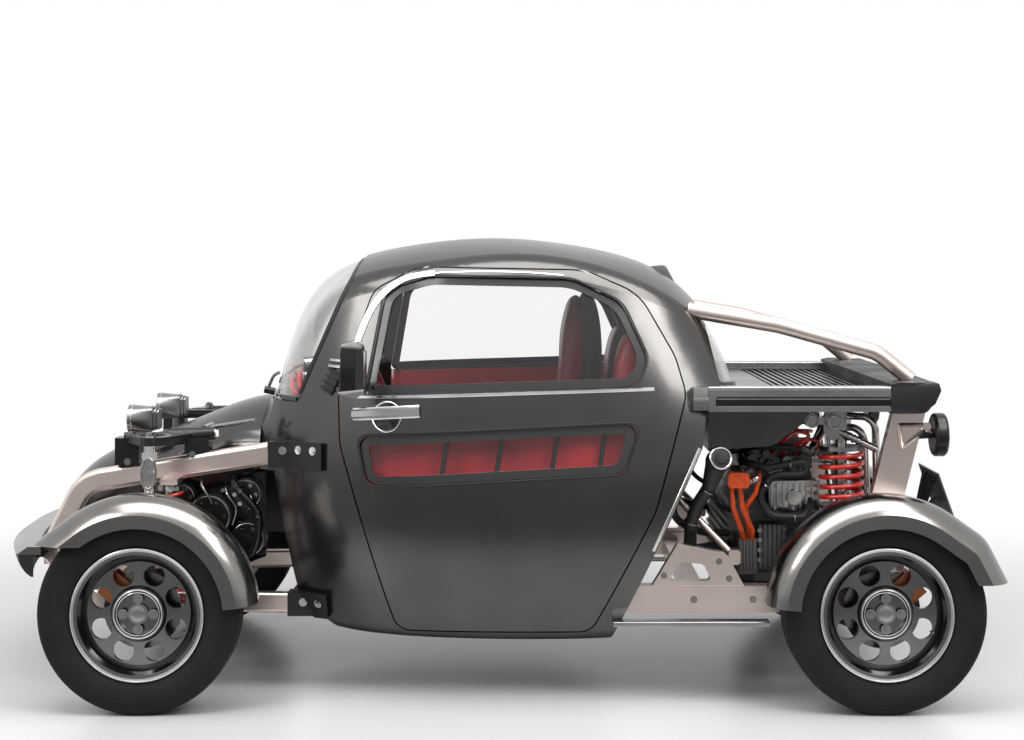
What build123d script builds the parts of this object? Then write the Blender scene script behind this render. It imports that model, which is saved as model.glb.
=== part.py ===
"""Three-seat open-wheel concept car: a closed cabin pod hung on an exposed frame, with cycle
wings, a bare front suspension on top of the rails and the engine open to view behind the cabin.

Millimetres. X runs rearward, Y to the car's right, Z up. The origin is on the ground at the
middle of the car's length and width.
"""
from build123d import *
import math
import os

os.makedirs("parts", exist_ok=True)

# Driving dimensions of the whole car
overall_length = 3400
overall_width = 1800
overall_height = 1566
wheelbase = 2450
front_overhang = 560
track = 1550

# Wheels and tyres
tyre_radius = 330
tyre_width = 185
bead_radius = 203
rim_flange_radius = 219
rim_width = 165
rim_wall = 7
disc_thickness = 12
disc_recess = 34
hole_count = 8
hole_radius = 35
hole_circle = 132
hub_cup_radius = 79
spindle_radius = 27
brake_radius = 128
brake_thickness = 12
lug_count = 4
lug_circle = 50

# Running clearances
running_gap = 0.3
panel_gap = 5
safe_gap = 8

# Steering
kingpin_low_y = 655
kingpin_low_z = 212
kingpin_high_y = 620
kingpin_high_z = 872
kingpin_radius = 16
eye_wall = 12
rack_ahead = 118
rack_z = 366
rack_radius = 14
rack_housing_half = 200

# Cabin pod
pod_front_x = -800
pod_wall = 50
glass_inset = 10
glass_thickness = 6
deck_z = 1040
deck_rail_top = 1066
deck_rail_bottom = 982

# Frame rails
front_rail_height = 80
front_rail_width = 50
front_low_rail_height = 70
rear_rail_y = 600
rear_rail_width = 60
rear_rail_top = 386
rear_rail_height = 90
post_width = 110

tow_thread_radius = 10

# Wing stays
stud_y = -700

# Wings
wing_gap = 52
wing_wall = 6
wing_inner_y = 655
wing_lip_radius = 288

front_axle_x = -overall_length / 2 + front_overhang
rear_axle_x = front_axle_x + wheelbase
half_width = overall_width / 2
wheel_y = track / 2
tyre_inner_y = wheel_y - tyre_width / 2
wing_crown_radius = tyre_radius + wing_gap
SIDES = (("left", -1), ("right", 1))
CORNERS = [
    # name, axle x, side
    ("front_left", front_axle_x, -1),
    ("front_right", front_axle_x, 1),
    ("rear_left", rear_axle_x, -1),
    ("rear_right", rear_axle_x, 1),
]


def save(node, shape):
    """One node to one file, as a compound of its separate solids."""
    solids = shape.solids() if hasattr(shape, "solids") else [s for p in shape for s in p.solids()]
    export_step(Compound(children=list(solids)), f"parts/{node}.step")


def cut(shape, *others):
    """The shape with every solid of the others taken away."""
    for other in others:
        for solid in other.solids():
            shape = shape - solid
    return shape


def mirrored(shape):
    """The shape and its mirror image across the car's centre plane."""
    return [shape, shape.mirror(Plane.XZ)]


def box(x0, x1, y0, y1, z0, z1):
    return Pos((x0 + x1) / 2, (y0 + y1) / 2, (z0 + z1) / 2) * Box(abs(x1 - x0), abs(y1 - y0), abs(z1 - z0))


def bar(start, end, radius):
    """A round bar between two points."""
    a, b = Vector(start), Vector(end)
    axis = b - a
    return Plane(a, z_dir=axis) * Cylinder(radius, axis.length, align=(Align.CENTER, Align.CENTER, Align.MIN))


def tube_along(points, radii, radius):
    """A round bar that follows straight runs joined by arcs."""
    path = FilletPolyline(*points, radius=radii) if radii else Polyline(*points)
    return sweep(Plane(path @ 0, z_dir=path % 0) * Circle(radius), path)


def y_axis_cylinder(x, y0, y1, z, radius):
    return bar((x, y0, z), (x, y1, z), radius)


def side_prism(points, radii, y0, y1):
    """A side-view outline with rounded corners, extruded across the car from y0 to y1."""
    outline = make_face(Polyline(*points, close=True))
    for point, radius in zip(points, radii):
        if radius:
            corner = min(outline.vertices(), key=lambda v: math.hypot(v.X - point[0], v.Y - point[1]))
            outline = fillet([corner], radius)
    return Pos(0, max(y0, y1), 0) * extrude(Plane.XZ * outline, abs(y1 - y0))


# Pod stations, front to rear
STATIONS = [
    # x, floor z, floor half, belt half, belt z, cant half, cant z, roof z, floor r, cant r, lean
    (pod_front_x, 330, 320, 405, 700, 350, 900, 985, 50, 60, 1.0),
    (pod_front_x + 100, 290, 400, 515, 690, 425, 1160, 1290, 60, 90, 1.0),
    (pod_front_x + 210, 235, 470, 610, 680, 490, 1335, 1438, 70, 110, 0.7),
    (pod_front_x + 400, 205, 540, 705, 670, 555, 1432, 1517, 80, 120, 0.3),
    (pod_front_x + 750, 195, 600, 756, 670, 585, 1488, overall_height - 2, 80, 120, 0.0),
    (pod_front_x + 1150, 195, 600, 756, 680, 580, 1466, 1533, 80, 120, 0.0),
    (pod_front_x + 1440, 230, 560, 738, 720, 560, 1345, 1436, 80, 110, -0.4),
    (pod_front_x + 1565, 300, 520, 705, 760, 520, 1245, 1318, 80, 90, -1.0),
    (pod_front_x + 1662, 500, 480, 640, 850, 460, 1010, 1064, 60, 60, -1.0),
]


def side_arc_middle(half, belt_half, belt_z, z):
    """Middle of the arc that leaves the belt vertically and ends at (half, z)."""
    inward, rise = belt_half - half, z - belt_z
    radius = (inward**2 + rise**2) / (2 * inward)
    centre = belt_half - radius
    angle = math.atan2(rise, half - centre) / 2
    return (centre + radius * math.cos(angle), belt_z + radius * math.sin(angle))


def cross_section(x, floor_z, floor_half, belt_half, belt_z, cant_half, cant_z, roof_z, floor_r, cant_r):
    """One closed section across the car: flat floor, bulged sides and crowned roof."""
    low = side_arc_middle(floor_half, belt_half, belt_z, floor_z)
    high = side_arc_middle(cant_half, belt_half, belt_z, cant_z)
    edges = [
        Line((-floor_half, floor_z), (floor_half, floor_z)),
        ThreePointArc((floor_half, floor_z), low, (belt_half, belt_z)),
        ThreePointArc((belt_half, belt_z), high, (cant_half, cant_z)),
        ThreePointArc((cant_half, cant_z), (0, roof_z), (-cant_half, cant_z)),
        ThreePointArc((-cant_half, cant_z), (-high[0], high[1]), (-belt_half, belt_z)),
        ThreePointArc((-belt_half, belt_z), (-low[0], low[1]), (-floor_half, floor_z)),
    ]
    face = make_face(Wire(edges))
    for half, z, radius in ((floor_half, floor_z, floor_r), (cant_half, cant_z, cant_r)):
        corners = [v for v in face.vertices() if abs(abs(v.X) - half) < 1e-3 and abs(v.Y - z) < 1e-3]
        face = fillet(corners, radius)
    return Plane(origin=(x, 0, 0), x_dir=(0, 1, 0), z_dir=(1, 0, 0)) * face


def pod_skin(inset):
    """The pod's closed form, every wall moved inward by inset."""
    sections = []
    for x, floor_z, floor_half, belt_half, belt_z, cant_half, cant_z, roof_z, floor_r, cant_r, lean in STATIONS:
        sections.append(
            cross_section(
                x + inset * lean,
                floor_z + inset,
                floor_half - inset * 0.7,
                belt_half - inset,
                belt_z,
                cant_half - inset,
                cant_z - inset * 0.6,
                roof_z - inset,
                max(floor_r - inset * 0.5, 15),
                max(cant_r - inset * 0.5, 20),
            )
        )
    pod = loft(sections)
    nose_cut = side_prism(
        [
            (pod_front_x - 200, 0),
            (pod_front_x - 200, 760 + inset * 0.3),
            (pod_front_x + 60 + inset, 755 + inset * 0.3),
            (pod_front_x + 150 + inset, 325 + inset),
            (pod_front_x + 330 + inset, 185 + inset),
            (pod_front_x + 330 + inset, 0),
        ],
        [0, 0, 0, 0, 0, 0],
        -half_width,
        half_width,
    )
    tail_cut = side_prism(
        [
            (pod_front_x + 1215 - inset, 0),
            (pod_front_x + 1215 - inset, 185 + inset),
            (pod_front_x + 1522 - inset, 861),
            (pod_front_x + 1545 - inset, deck_z + inset * 0.5),
            (pod_front_x + 1800, deck_z + inset * 0.5),
            (pod_front_x + 1800, 0),
        ],
        [0, 0, 0, 0, 0, 0],
        -half_width,
        half_width,
    )
    return pod - nose_cut - tail_cut


# Openings in the pod, as side-view outlines with the radius of each corner
DOOR_OUTLINE = [
    (-500, 1030), (-443, 1215), (-385, 1385), (-235, 1462), (330, 1452), (515, 1372),
    (632, 1165), (668, 1040), (562, 655), (350, 232), (-302, 232), (-493, 868),
]
DOOR_RADII = [60, 200, 90, 160, 260, 180, 200, 120, 300, 60, 60, 200]
WINDOW_OUTLINE = [(-408, 1036), (505, 1064), (542, 1160), (458, 1345), (290, 1424), (-190, 1434), (-345, 1390)]
WINDOW_RADII = [10, 60, 70, 110, 150, 110, 70]
LOW_WINDOW_OUTLINE = [(-434, 898), (515, 945), (456, 779), (-401, 732)]
LOW_WINDOW_RADII = [35, 35, 45, 45]
WINDSCREEN_OUTLINE = [(-1000, 1000), (-648, 1000), (-462, 1420), (-420, 1600), (-1000, 1600)]
REAR_WINDOW_OUTLINE = [(742, 1300), (790, 1072), (1000, 1072), (1000, 1330), (757, 1340)]


def door_gap_outline(grow):
    """The door outline, grown evenly for the shut line."""
    outline = make_face(Polyline(*DOOR_OUTLINE, close=True))
    for point, radius in zip(DOOR_OUTLINE, DOOR_RADII):
        corner = min(outline.vertices(), key=lambda v: math.hypot(v.X - point[0], v.Y - point[1]))
        outline = fillet([corner], radius)
    return offset(outline, grow) if grow else outline


def across(face, side):
    """A side-view face, extruded through one flank of the pod."""
    prism = extrude(Plane.XZ * face, half_width - 300)
    return Pos(0, -300, 0) * prism if side < 0 else Pos(0, half_width, 0) * prism


def build_pod():
    outer = pod_skin(0)
    shell = outer - pod_skin(pod_wall)
    pane = pod_skin(glass_inset) - pod_skin(glass_inset + glass_thickness)
    windscreen_hole = side_prism(WINDSCREEN_OUTLINE, [0, 20, 0, 0, 0], -half_width, half_width)
    rear_hole = side_prism(REAR_WINDOW_OUTLINE, [20, 20, 0, 0, 0], -half_width, half_width)
    windows = side_prism(WINDOW_OUTLINE, WINDOW_RADII, -half_width, -300)
    low_windows = side_prism(LOW_WINDOW_OUTLINE, LOW_WINDOW_RADII, -half_width, -300)
    glass = []
    for name, side in SIDES:
        hole, low_hole = (windows, low_windows) if side < 0 else (
            windows.mirror(Plane.XZ), low_windows.mirror(Plane.XZ))
        door = (shell & across(door_gap_outline(0), side)) - hole - low_hole
        save(f"door_{name}", door)
        glass += [pane & hole, pane & low_hole]
        shell = shell - across(door_gap_outline(panel_gap), side)
    save("side_glass", glass)
    save("windscreen", pane & windscreen_hole)
    save("rear_window", pane & rear_hole)
    save("cabin_shell", shell - windscreen_hole - rear_hole)
    return outer


# Nose hood, front to rear
HOOD_STATIONS = [
    # x, floor z, floor half, belt half, belt z, cant half, cant z, roof z, floor r, cant r
    (-1552, 470, 215, 228, 520, 185, 590, 622, 15, 40),
    (-1478, 500, 245, 260, 590, 205, 680, 722, 15, 50),
    (-1325, 590, 280, 296, 660, 240, 765, 810, 15, 60),
    (-1065, 670, 330, 345, 735, 285, 855, 905, 15, 60),
    (pod_front_x, 760, 385, 402, 800, 350, 900, 985, 10, 60),
]
hood_wall = 14


def hood_skin(inset):
    sections = []
    for n, (x, floor_z, floor_half, belt_half, belt_z, cant_half, cant_z, roof_z, fr, cr) in enumerate(HOOD_STATIONS):
        ahead = -inset * 2 if n == 0 else 0
        sections.append(
            cross_section(
                x + ahead, floor_z - inset, floor_half - inset, belt_half - inset, belt_z,
                cant_half - inset, cant_z - inset * 0.6, roof_z - inset, fr, max(cr - inset, 20),
            )
        )
    return loft(sections)


def build_hood():
    save("hood", hood_skin(0) - hood_skin(hood_wall))


def build_grille():
    """Upright bars in a frame that fills the nose's open front."""
    x, low, high, half = -1550, 465, 578, 166
    frame = box(x, x + 24, -half, half, low, high) - box(x - 1, x + 25, -half + 14, half - 14, low + 14, high - 14)
    pitch = 24
    count = int((2 * half - 40) // pitch)
    for n in range(count + 1):
        y = (n - count / 2) * pitch
        frame += box(x + 4, x + 18, y - 4, y + 4, low + 8, high - 8)
    save("grille", frame)


# Front rails: a top rail that turns down at the nose, a low rail, and their joining cross tube
RAIL_REAR = (-750, -500, 821)
RAIL_CORNER = (-1402, -425, 712)
RAIL_FOOT = (-1528, -402, 470)
LOW_RAIL_REAR = (-688, -470, 302)
LOW_RAIL_CORNER = (-1392, -425, 302)


def rail_tube(points, radii, width, height, round_radius):
    path = FilletPolyline(*points, radius=radii)
    start = path @ 0
    along = path % 0
    across_dir = Vector(0, 0, 1).cross(along)
    profile = Plane(start, x_dir=across_dir, z_dir=along) * RectangleRounded(width, height, round_radius)
    return sweep(profile, path)


def build_front_frame():
    top = rail_tube([RAIL_REAR, RAIL_CORNER, RAIL_FOOT], [120], front_rail_width, front_rail_height, 18)
    low = rail_tube([LOW_RAIL_REAR, LOW_RAIL_CORNER, RAIL_FOOT], [110], front_rail_width, front_low_rail_height, 12)
    brace = bar((-880, -395, 545), (-700, -425, 385), 23)
    upright = box(-905, -865, -440, -395, 330, 770)
    side = top + low
    frame = side + side.mirror(Plane.XZ)
    for x, z in ((-1000, 302), (-1392, 302)):
        frame += box(x - 25, x + 25, -450, 450, z - 25, z + 25)
    frame += box(-1550, -1506, -420, 420, 425, 465)
    for side_y in (-1, 1):
        frame += box(-1115, -1055, side_y * 590, side_y * 470, 722, 740)
    save("front_frame", frame)
    return frame


def build_rail_brackets(outer, frame):
    """Black castings that bolt the rail ends to the pod."""
    cover = pod_skin(-16) - outer
    upper = cover & box(-745, -560, -700, -420, 775, 868)
    block = box(-750, -640, -560, -462, 778, 865) - outer
    lower = cover & box(-700, -548, -700, -380, 255, 345)
    foot = box(-688, -600, -520, -440, 262, 342) - outer
    side = [upper + block - frame, lower + foot - frame]
    save("rail_brackets", [p for s in side for p in mirrored(s)])


def build_front_bumper(frame):
    """A bowed black bar with a thin bright blade on its top."""
    def bowed(front_mid, front_end, depth, half):
        outer = ThreePointArc((front_end, -half), (front_mid, 0), (front_end, half))
        back_end = front_end + depth - end_taper
        inner = ThreePointArc((back_end, half), (front_mid + depth, 0), (back_end, -half))
        ends = [Line(outer @ 1, inner @ 0), Line(inner @ 1, outer @ 0)]
        return make_face(Wire([outer, ends[0], inner, ends[1]]))
    front = -overall_length / 2
    end_setback, end_taper = 130, 34
    blade_low, blade_top, blade_depth, blade_rake = 502, 529, 112, 34

    def plan_at(z, setback, depth, half):
        mid = front + setback
        return Pos(0, 0, z) * bowed(mid, mid + end_setback, depth, half)
    blade = loft([plan_at(blade_low + 3, 0, blade_depth, 700), plan_at(blade_top, blade_rake, blade_depth - blade_rake, 700)])
    blade += extrude(plan_at(blade_low, 0, blade_depth, 700), 3)
    save("bumper_blade", blade - frame)
    quarter_round = [
        # height, setback from the blade's edge, depth
        (blade_low, 3, 84), (blade_low - 26, 7, 80), (blade_low - 54, 22, 65), (blade_low - 74, 46, 41),
    ]
    bumper = loft([plan_at(z, setback, depth, 698) for z, setback, depth in quarter_round])
    for side in (-1, 1):
        bumper += box(-1640, -1530, side * 402 - 22, side * 402 + 22, 450, 494)
    save("front_bumper", bumper - frame)


def wing_profile():
    """The wing's thin section as seen along the wheel's rim, in (radius, y) of the left side."""
    outer_y = half_width - wing_wall
    lip = (wing_lip_radius, -outer_y)
    shoulder = (wing_lip_radius + 42, -outer_y + 2)
    crown = (wing_crown_radius, -wheel_y - 5)
    crown_mid = (wing_crown_radius - 15, -outer_y + 33)
    inner = (wing_crown_radius - 34, -wing_inner_y)
    inner_mid = (wing_crown_radius - 8, -wing_inner_y - 58)
    wire = Wire([Line(lip, shoulder), ThreePointArc(shoulder, crown_mid, crown), ThreePointArc(crown, inner_mid, inner)])
    return make_face(wire.offset_2d(wing_wall, side=Side.RIGHT, closed=True))


def wing_at(angle, axle_x):
    """The wing section standing on its arc at an angle from straight back, rising over the wheel."""
    a = math.radians(angle)
    radial = Vector(math.cos(a), 0, math.sin(a))
    plane = Plane(origin=(axle_x, 0, tyre_radius), x_dir=radial, z_dir=radial.cross(Vector(0, 1, 0)))
    return plane * wing_profile()


def rear_axis(axle_x):
    return Axis((axle_x, 0, tyre_radius), (0, -1, 0))


def build_front_wing():
    """An arc over the wheel whose front runs out straight to the bumper's corner."""
    start, end, run_out = 5, 127, 166
    arc = revolve(wing_at(start, front_axle_x), rear_axis(front_axle_x), end - start)
    tip_face = wing_at(end, front_axle_x)
    a = math.radians(end)
    flare = extrude(tip_face, run_out, dir=(-math.sin(a), 0, math.cos(a)))
    trim = box(front_axle_x - 480, front_axle_x - 175, -half_width - 5, -600, 300, 557)
    return arc + (flare - trim)


def build_rear_wing():
    """An arc over the wheel with a long straight tail that kicks down at its end."""
    start, end, first_run, bend, second_run = 55, 176, 100, 28, 128
    arc = revolve(wing_at(start, rear_axle_x), rear_axis(rear_axle_x), end - start)
    a = math.radians(start)
    back = Vector(math.sin(a), 0, -math.cos(a))
    face = wing_at(start, rear_axle_x)
    first = extrude(face, first_run, dir=back)
    moved = Pos(*(back * first_run)) * face
    radial = Vector(math.cos(a), 0, math.sin(a))
    pivot = Vector(rear_axle_x, 0, tyre_radius) + back * first_run + radial * (wing_lip_radius - 20)
    turn = revolve(moved, Axis(pivot, (0, 1, 0)), bend)
    last_face = moved.rotate(Axis(pivot, (0, 1, 0)), bend)
    b = a - math.radians(bend)
    down = Vector(math.sin(b), 0, -math.cos(b))
    second = extrude(last_face, second_run, dir=down)
    wing = arc + first + turn + second
    trim = box(rear_axle_x + 150, rear_axle_x + 600, -half_width - 5, -600, 0, 434)
    return wing - trim


def build_wheel(axle_x, side):
    """Rim with its dished, drilled disc, brake disc behind it, and the tyre around it, in wheel
    coordinates: y is outward from the wheel's middle plane."""
    half = rim_width / 2
    profile = make_face(Polyline(
        (bead_radius - rim_wall, -half + 12), (bead_radius - 4, -half + 4), (rim_flange_radius, -half),
        (rim_flange_radius, -half + 6), (bead_radius, -half + 12), (bead_radius, half - 12),
        (rim_flange_radius, half - 6), (rim_flange_radius, half), (bead_radius - 6, half - 4),
        (bead_radius - rim_wall - 8, half - 22), (bead_radius - rim_wall, half - 34), close=True))
    barrel = revolve(Plane.XY * profile, Axis.Y, 360)
    face_y = half - disc_recess
    disc_profile = make_face(Polyline(
        (spindle_radius + running_gap, face_y - 16), (spindle_radius + running_gap, face_y - 4),
        (hub_cup_radius - 10, face_y - 4), (hub_cup_radius - 4, face_y + 12), (hub_cup_radius + 6, face_y + 12),
        (hub_cup_radius + 14, face_y), (170, face_y - 6), (bead_radius - 4, face_y - 26),
        (bead_radius - 4, face_y - 26 - disc_thickness), (166, face_y - 6 - disc_thickness - 4),
        (hub_cup_radius, face_y - 16), close=True))
    disc = revolve(Plane.XY * disc_profile, Axis.Y, 360)
    hole = Cylinder(hole_radius, 120)
    for n in range(hole_count):
        a = 2 * math.pi * (n + 0.5) / hole_count
        disc -= Pos(hole_circle * math.cos(a), face_y - 10, hole_circle * math.sin(a)) * Rot(90, 0, 0) * hole
    lug = Pos(0, 0, 0) * Rot(90, 0, 0) * Cylinder(10, 16)
    for n in range(lug_count):
        a = 2 * math.pi * n / lug_count
        disc += Pos(lug_circle * math.cos(a), face_y + 2, lug_circle * math.sin(a)) * lug
    hat_outer, hat_back = 66, -30
    hat = revolve(Plane.XY * make_face(Polyline(
        (spindle_radius + running_gap, face_y - 16), (spindle_radius + running_gap, face_y - 22),
        (hat_outer - 8, face_y - 22), (hat_outer - 8, hat_back), (brake_radius, hat_back),
        (brake_radius, hat_back + brake_thickness), (hat_outer, hat_back + brake_thickness),
        (hat_outer, face_y - 14), (spindle_radius + 4, face_y - 14), close=True)), Axis.Y, 360)
    cap = Pos(0, face_y + 2, 0) * Rot(90, 0, 0) * Cylinder(spindle_radius + 5, 12)
    rim = barrel + disc + hat + cap
    w = tyre_width / 2
    r_in = bead_radius + running_gap
    seat, shoulder, bead_top = half - 12.6, half - 6.6, rim_flange_radius + 1
    tyre_profile = make_face(Wire([
        Line((r_in, -seat), (r_in, seat)),
        Line((r_in, seat), (bead_top, shoulder)),
        ThreePointArc((bead_top, shoulder), (tyre_radius - 55, w), (tyre_radius - 22, w - 8)),
        ThreePointArc((tyre_radius - 22, w - 8), (tyre_radius - 7, w - 16), (tyre_radius, w - 32)),
        Line((tyre_radius, w - 32), (tyre_radius, -w + 32)),
        ThreePointArc((tyre_radius, -w + 32), (tyre_radius - 7, -w + 16), (tyre_radius - 22, -w + 8)),
        ThreePointArc((tyre_radius - 22, -w + 8), (tyre_radius - 55, -w), (bead_top, -shoulder)),
        Line((bead_top, -shoulder), (r_in, -seat)),
    ]))
    tyre = revolve(Plane.XY * tyre_profile, Axis.Y, 360)
    place = Pos(axle_x, side * wheel_y, tyre_radius)
    if side < 0:
        place = place * Rot(0, 0, 180)
    return place * rim, place * tyre


def kingpin_y(z):
    share = (z - kingpin_low_z) / (kingpin_high_z - kingpin_low_z)
    return -(kingpin_low_y + share * (kingpin_high_y - kingpin_low_y))


def wing_stay(x, root_y, radius, head_z):
    """A bar out to a stud that stands just under the left wing's wall."""
    bend = (x, stud_y, head_z - 15)
    stay = bar((x, root_y, head_z - 50), bend, radius) + Pos(*bend) * Sphere(radius)
    return stay + bar(bend, (x, stud_y, head_z), 8)


def build_knuckle():
    """The tall left front upright: hub boss and spindle, a post along the kingpin that passes inside
    the tyre to the arm on top of the rail, a steering arm and the wing's stay."""
    x, z = front_axle_x, tyre_radius
    post = bar((x, kingpin_y(kingpin_low_z - 24), kingpin_low_z - 24),
               (x, kingpin_y(kingpin_high_z + 22), kingpin_high_z + 22), kingpin_radius)
    body = post + bar((x, kingpin_y(262), 262), (x, kingpin_y(812), 812), kingpin_radius + 4)
    spindle_end = wheel_y + rim_width / 2 - disc_recess - 6
    boss = y_axis_cylinder(x, -(kingpin_low_y - 22), -(wheel_y - 62), z, 42)
    spindle = y_axis_cylinder(x, -(wheel_y - 62), -spindle_end, z, spindle_radius)
    arm_end = (x - rack_ahead, kingpin_y(z), 396)
    arm = bar((x, kingpin_y(384), 384), arm_end, 9)
    arm += Pos(*arm_end) * Cylinder(16, 18)
    oval = Pos(x, kingpin_y(768) - 24, 768) * Rot(90, 0, 0) * extrude(Ellipse(28, 56), 9)
    oval_link = box(x - 10, x + 10, kingpin_y(768) - 26, kingpin_y(768) - 8, 740, 796)
    cone = Plane((x, kingpin_y(812), 812), z_dir=(0, kingpin_low_y - kingpin_high_y, kingpin_high_z - kingpin_low_z))
    nut = cone * extrude(RegularPolygon(30, 6), 24)
    stay = wing_stay(x, kingpin_y(650), 9, 695.9)
    return body + boss + spindle + arm + oval + oval_link + nut + stay


def caliper(axle_x, angle, side):
    """A brake caliper that straddles the disc without touching it."""
    disc_y = wheel_y - 30
    inner, outer = disc_y - 22, disc_y + brake_thickness + 22
    block = box(78, 152, -outer, -inner, -46, 46)
    slot = box(60, brake_radius + safe_gap, -(disc_y + brake_thickness + safe_gap), -(disc_y - safe_gap), -60, 60)
    carrier = box(spindle_radius + 1, 140, -inner, -(wheel_y - 62), -18, 18)
    piece = (block - slot) + carrier
    piece = Rot(0, -angle, 0) * piece
    piece = Pos(axle_x, 0, tyre_radius) * piece
    return piece if side < 0 else piece.mirror(Plane.XZ)


def build_corner_pieces():
    wing = build_front_wing()
    knuckle = build_knuckle()
    for name, side in SIDES:
        save(f"knuckle_{name}", knuckle if side < 0 else knuckle.mirror(Plane.XZ))
        save(f"front_wing_{name}", wing if side < 0 else wing.mirror(Plane.XZ))
    rear_wing = build_rear_wing()
    save("rear_wings", mirrored(rear_wing))
    for name, axle_x, side in CORNERS:
        rim, tyre = build_wheel(axle_x, side)
        save(f"rim_{name}", rim)
        save(f"tyre_{name}", tyre)


def build_front_arms():
    """Upper arms that pivot on shafts over the rails, and lower arms from the low rail."""
    x = front_axle_x
    eye_radius = kingpin_radius + eye_wall
    hole = bar((x, kingpin_y(150), 150), (x, kingpin_y(950), 950), kingpin_radius + running_gap)
    high = (x, kingpin_y(kingpin_high_z), kingpin_high_z)
    low = (x, kingpin_y(kingpin_low_z), kingpin_low_z)
    shaft = bar((-1262, -452, 872), (-1090, -452, 872), 17)
    pivot_arm = Plane((-1096, -452, 873), z_dir=(1, 0, 0.08)) * Cone(32, 21, 150, align=(Align.CENTER, Align.CENTER, Align.MIN))
    upper = shaft + pivot_arm + bar((x, kingpin_y(858), 858), (x, kingpin_y(886), 886), eye_radius)
    plan = make_face(Polyline((-1249, -436), (-1020, -436), (-1020, -474), (x + 30, high[1] - 8), (x - 30, high[1] - 8), (-1249, -500), close=True))
    plan = fillet(plan.vertices(), 10)
    upper += Pos(0, 0, 858) * extrude(plan, 28)
    upper -= Pos(x - 8, -528, 850) * extrude(SlotOverall(96, 46), 44)
    for inner_x in (-1246, -1005):
        rail_top = 821 + (inner_x + 750) * 0.1672 + front_rail_height / 2
        upper += box(inner_x - 42, inner_x + 42, -492, -412, rail_top, 872)
    upper -= hole
    lower = bar((x, kingpin_y(198), 198), (x, kingpin_y(226), 226), eye_radius)
    for inner_x in (-1250, -1030):
        lower += bar((inner_x, -474, 295), low, 15)
    lower += box(-1112, -1058, -585, -505, 236, 262)
    lower -= hole
    return upper, lower


def build_suspension(frame, rear_frame):
    upper, lower = build_front_arms()
    hub_y = wheel_y - 62
    spindle_end = wheel_y + rim_width / 2 - disc_recess - 6
    rear = y_axis_cylinder(rear_axle_x, -640, -hub_y, tyre_radius, 44)
    rear += y_axis_cylinder(rear_axle_x, -hub_y, -spindle_end, tyre_radius, spindle_radius)
    rear += box(rear_axle_x - 30, rear_axle_x + 72, -672, -640, 215, 440)
    for inner_x in (rear_axle_x - 150, rear_axle_x + 110):
        rear += bar((rear_axle_x, -652, 228), (inner_x, -420, 262), 15)
    rear += bar((rear_axle_x + 56, -652, 425), (rear_axle_x + 100, -420, 440), 13)
    upper, lower = cut(upper, frame), cut(lower, frame)
    save("front_arms", [p for s in (upper, lower) for p in mirrored(s)])
    rear_arm = cut(rear, rear_frame)
    save("rear_arms", mirrored(rear_arm))
    calipers = [caliper(rear_axle_x, 40, side) for _, side in SIDES]
    save("rear_calipers", calipers)
    for name, side in SIDES:
        save(f"front_caliper_{name}", caliper(front_axle_x, 140, side))
    return lower, rear_arm


def coil(x, y, z_low, z_high, radius, wire_radius, turns):
    """A coil spring as one helix sweep about an upright axis."""
    height = z_high - z_low
    path = Pos(x, y, z_low) * Helix(pitch=height / turns, height=height, radius=radius)
    section = Plane(path @ 0, z_dir=path % 0) * Circle(wire_radius)
    return sweep(section, path, is_frenet=True)


def build_springs(front_arm, rear_arm):
    """Coils on slim dampers, with the cast bracket and bush that hold each rear one's head."""
    front = Pos(-1085, -545, 306) * Cylinder(46, 14) + Pos(-1085, -545, 708) * Cylinder(46, 14)
    front += bar((-1085, -545, 262), (-1085, -545, 722), 18)
    rear = Pos(1213, -545, 646) * Cylinder(78, 12) + Pos(1213, -545, 845) * Cylinder(74, 14)
    rear += bar((1243, -545, 252), (1213, -545, 655), 15) + bar((1213, -545, 650), (1213, -545, deck_rail_bottom), 20)
    plate = side_prism([(1158, 968), (1226, 968), (1206, 885), (1180, 862), (1150, 900)], [16, 16, 20, 20, 20], -566, -552)
    rear += plate + y_axis_cylinder(1184, -590, -530, 937, 27) + y_axis_cylinder(1112, -560, -480, 937, 24)
    rear += box(1112, 1170, -560, -545, 925, 950)
    front_coil = coil(-1085, -545, 313 + 6 + running_gap, 701 - 6 - running_gap, 39, 6, 8)
    rear_coil = coil(1213, -545, 652 + 8 + running_gap, 838 - 8 - running_gap, 70, 8, 5)
    link = bar((1204, -558, 900), (1330, -571, 841), 11)
    heading = Vector(141, -16, -66).normalized()
    for n in range(5):
        link += Plane(Vector(1222, -560, 891.6) + heading * n * 17, z_dir=heading) * Cylinder(15, 8)
    rear += link
    save("dampers", [p for s in (cut(front, front_arm), cut(rear, rear_arm)) for p in mirrored(s)])
    save("coil_springs", [p for s in (front_coil, rear_coil) for p in mirrored(s)])


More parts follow.
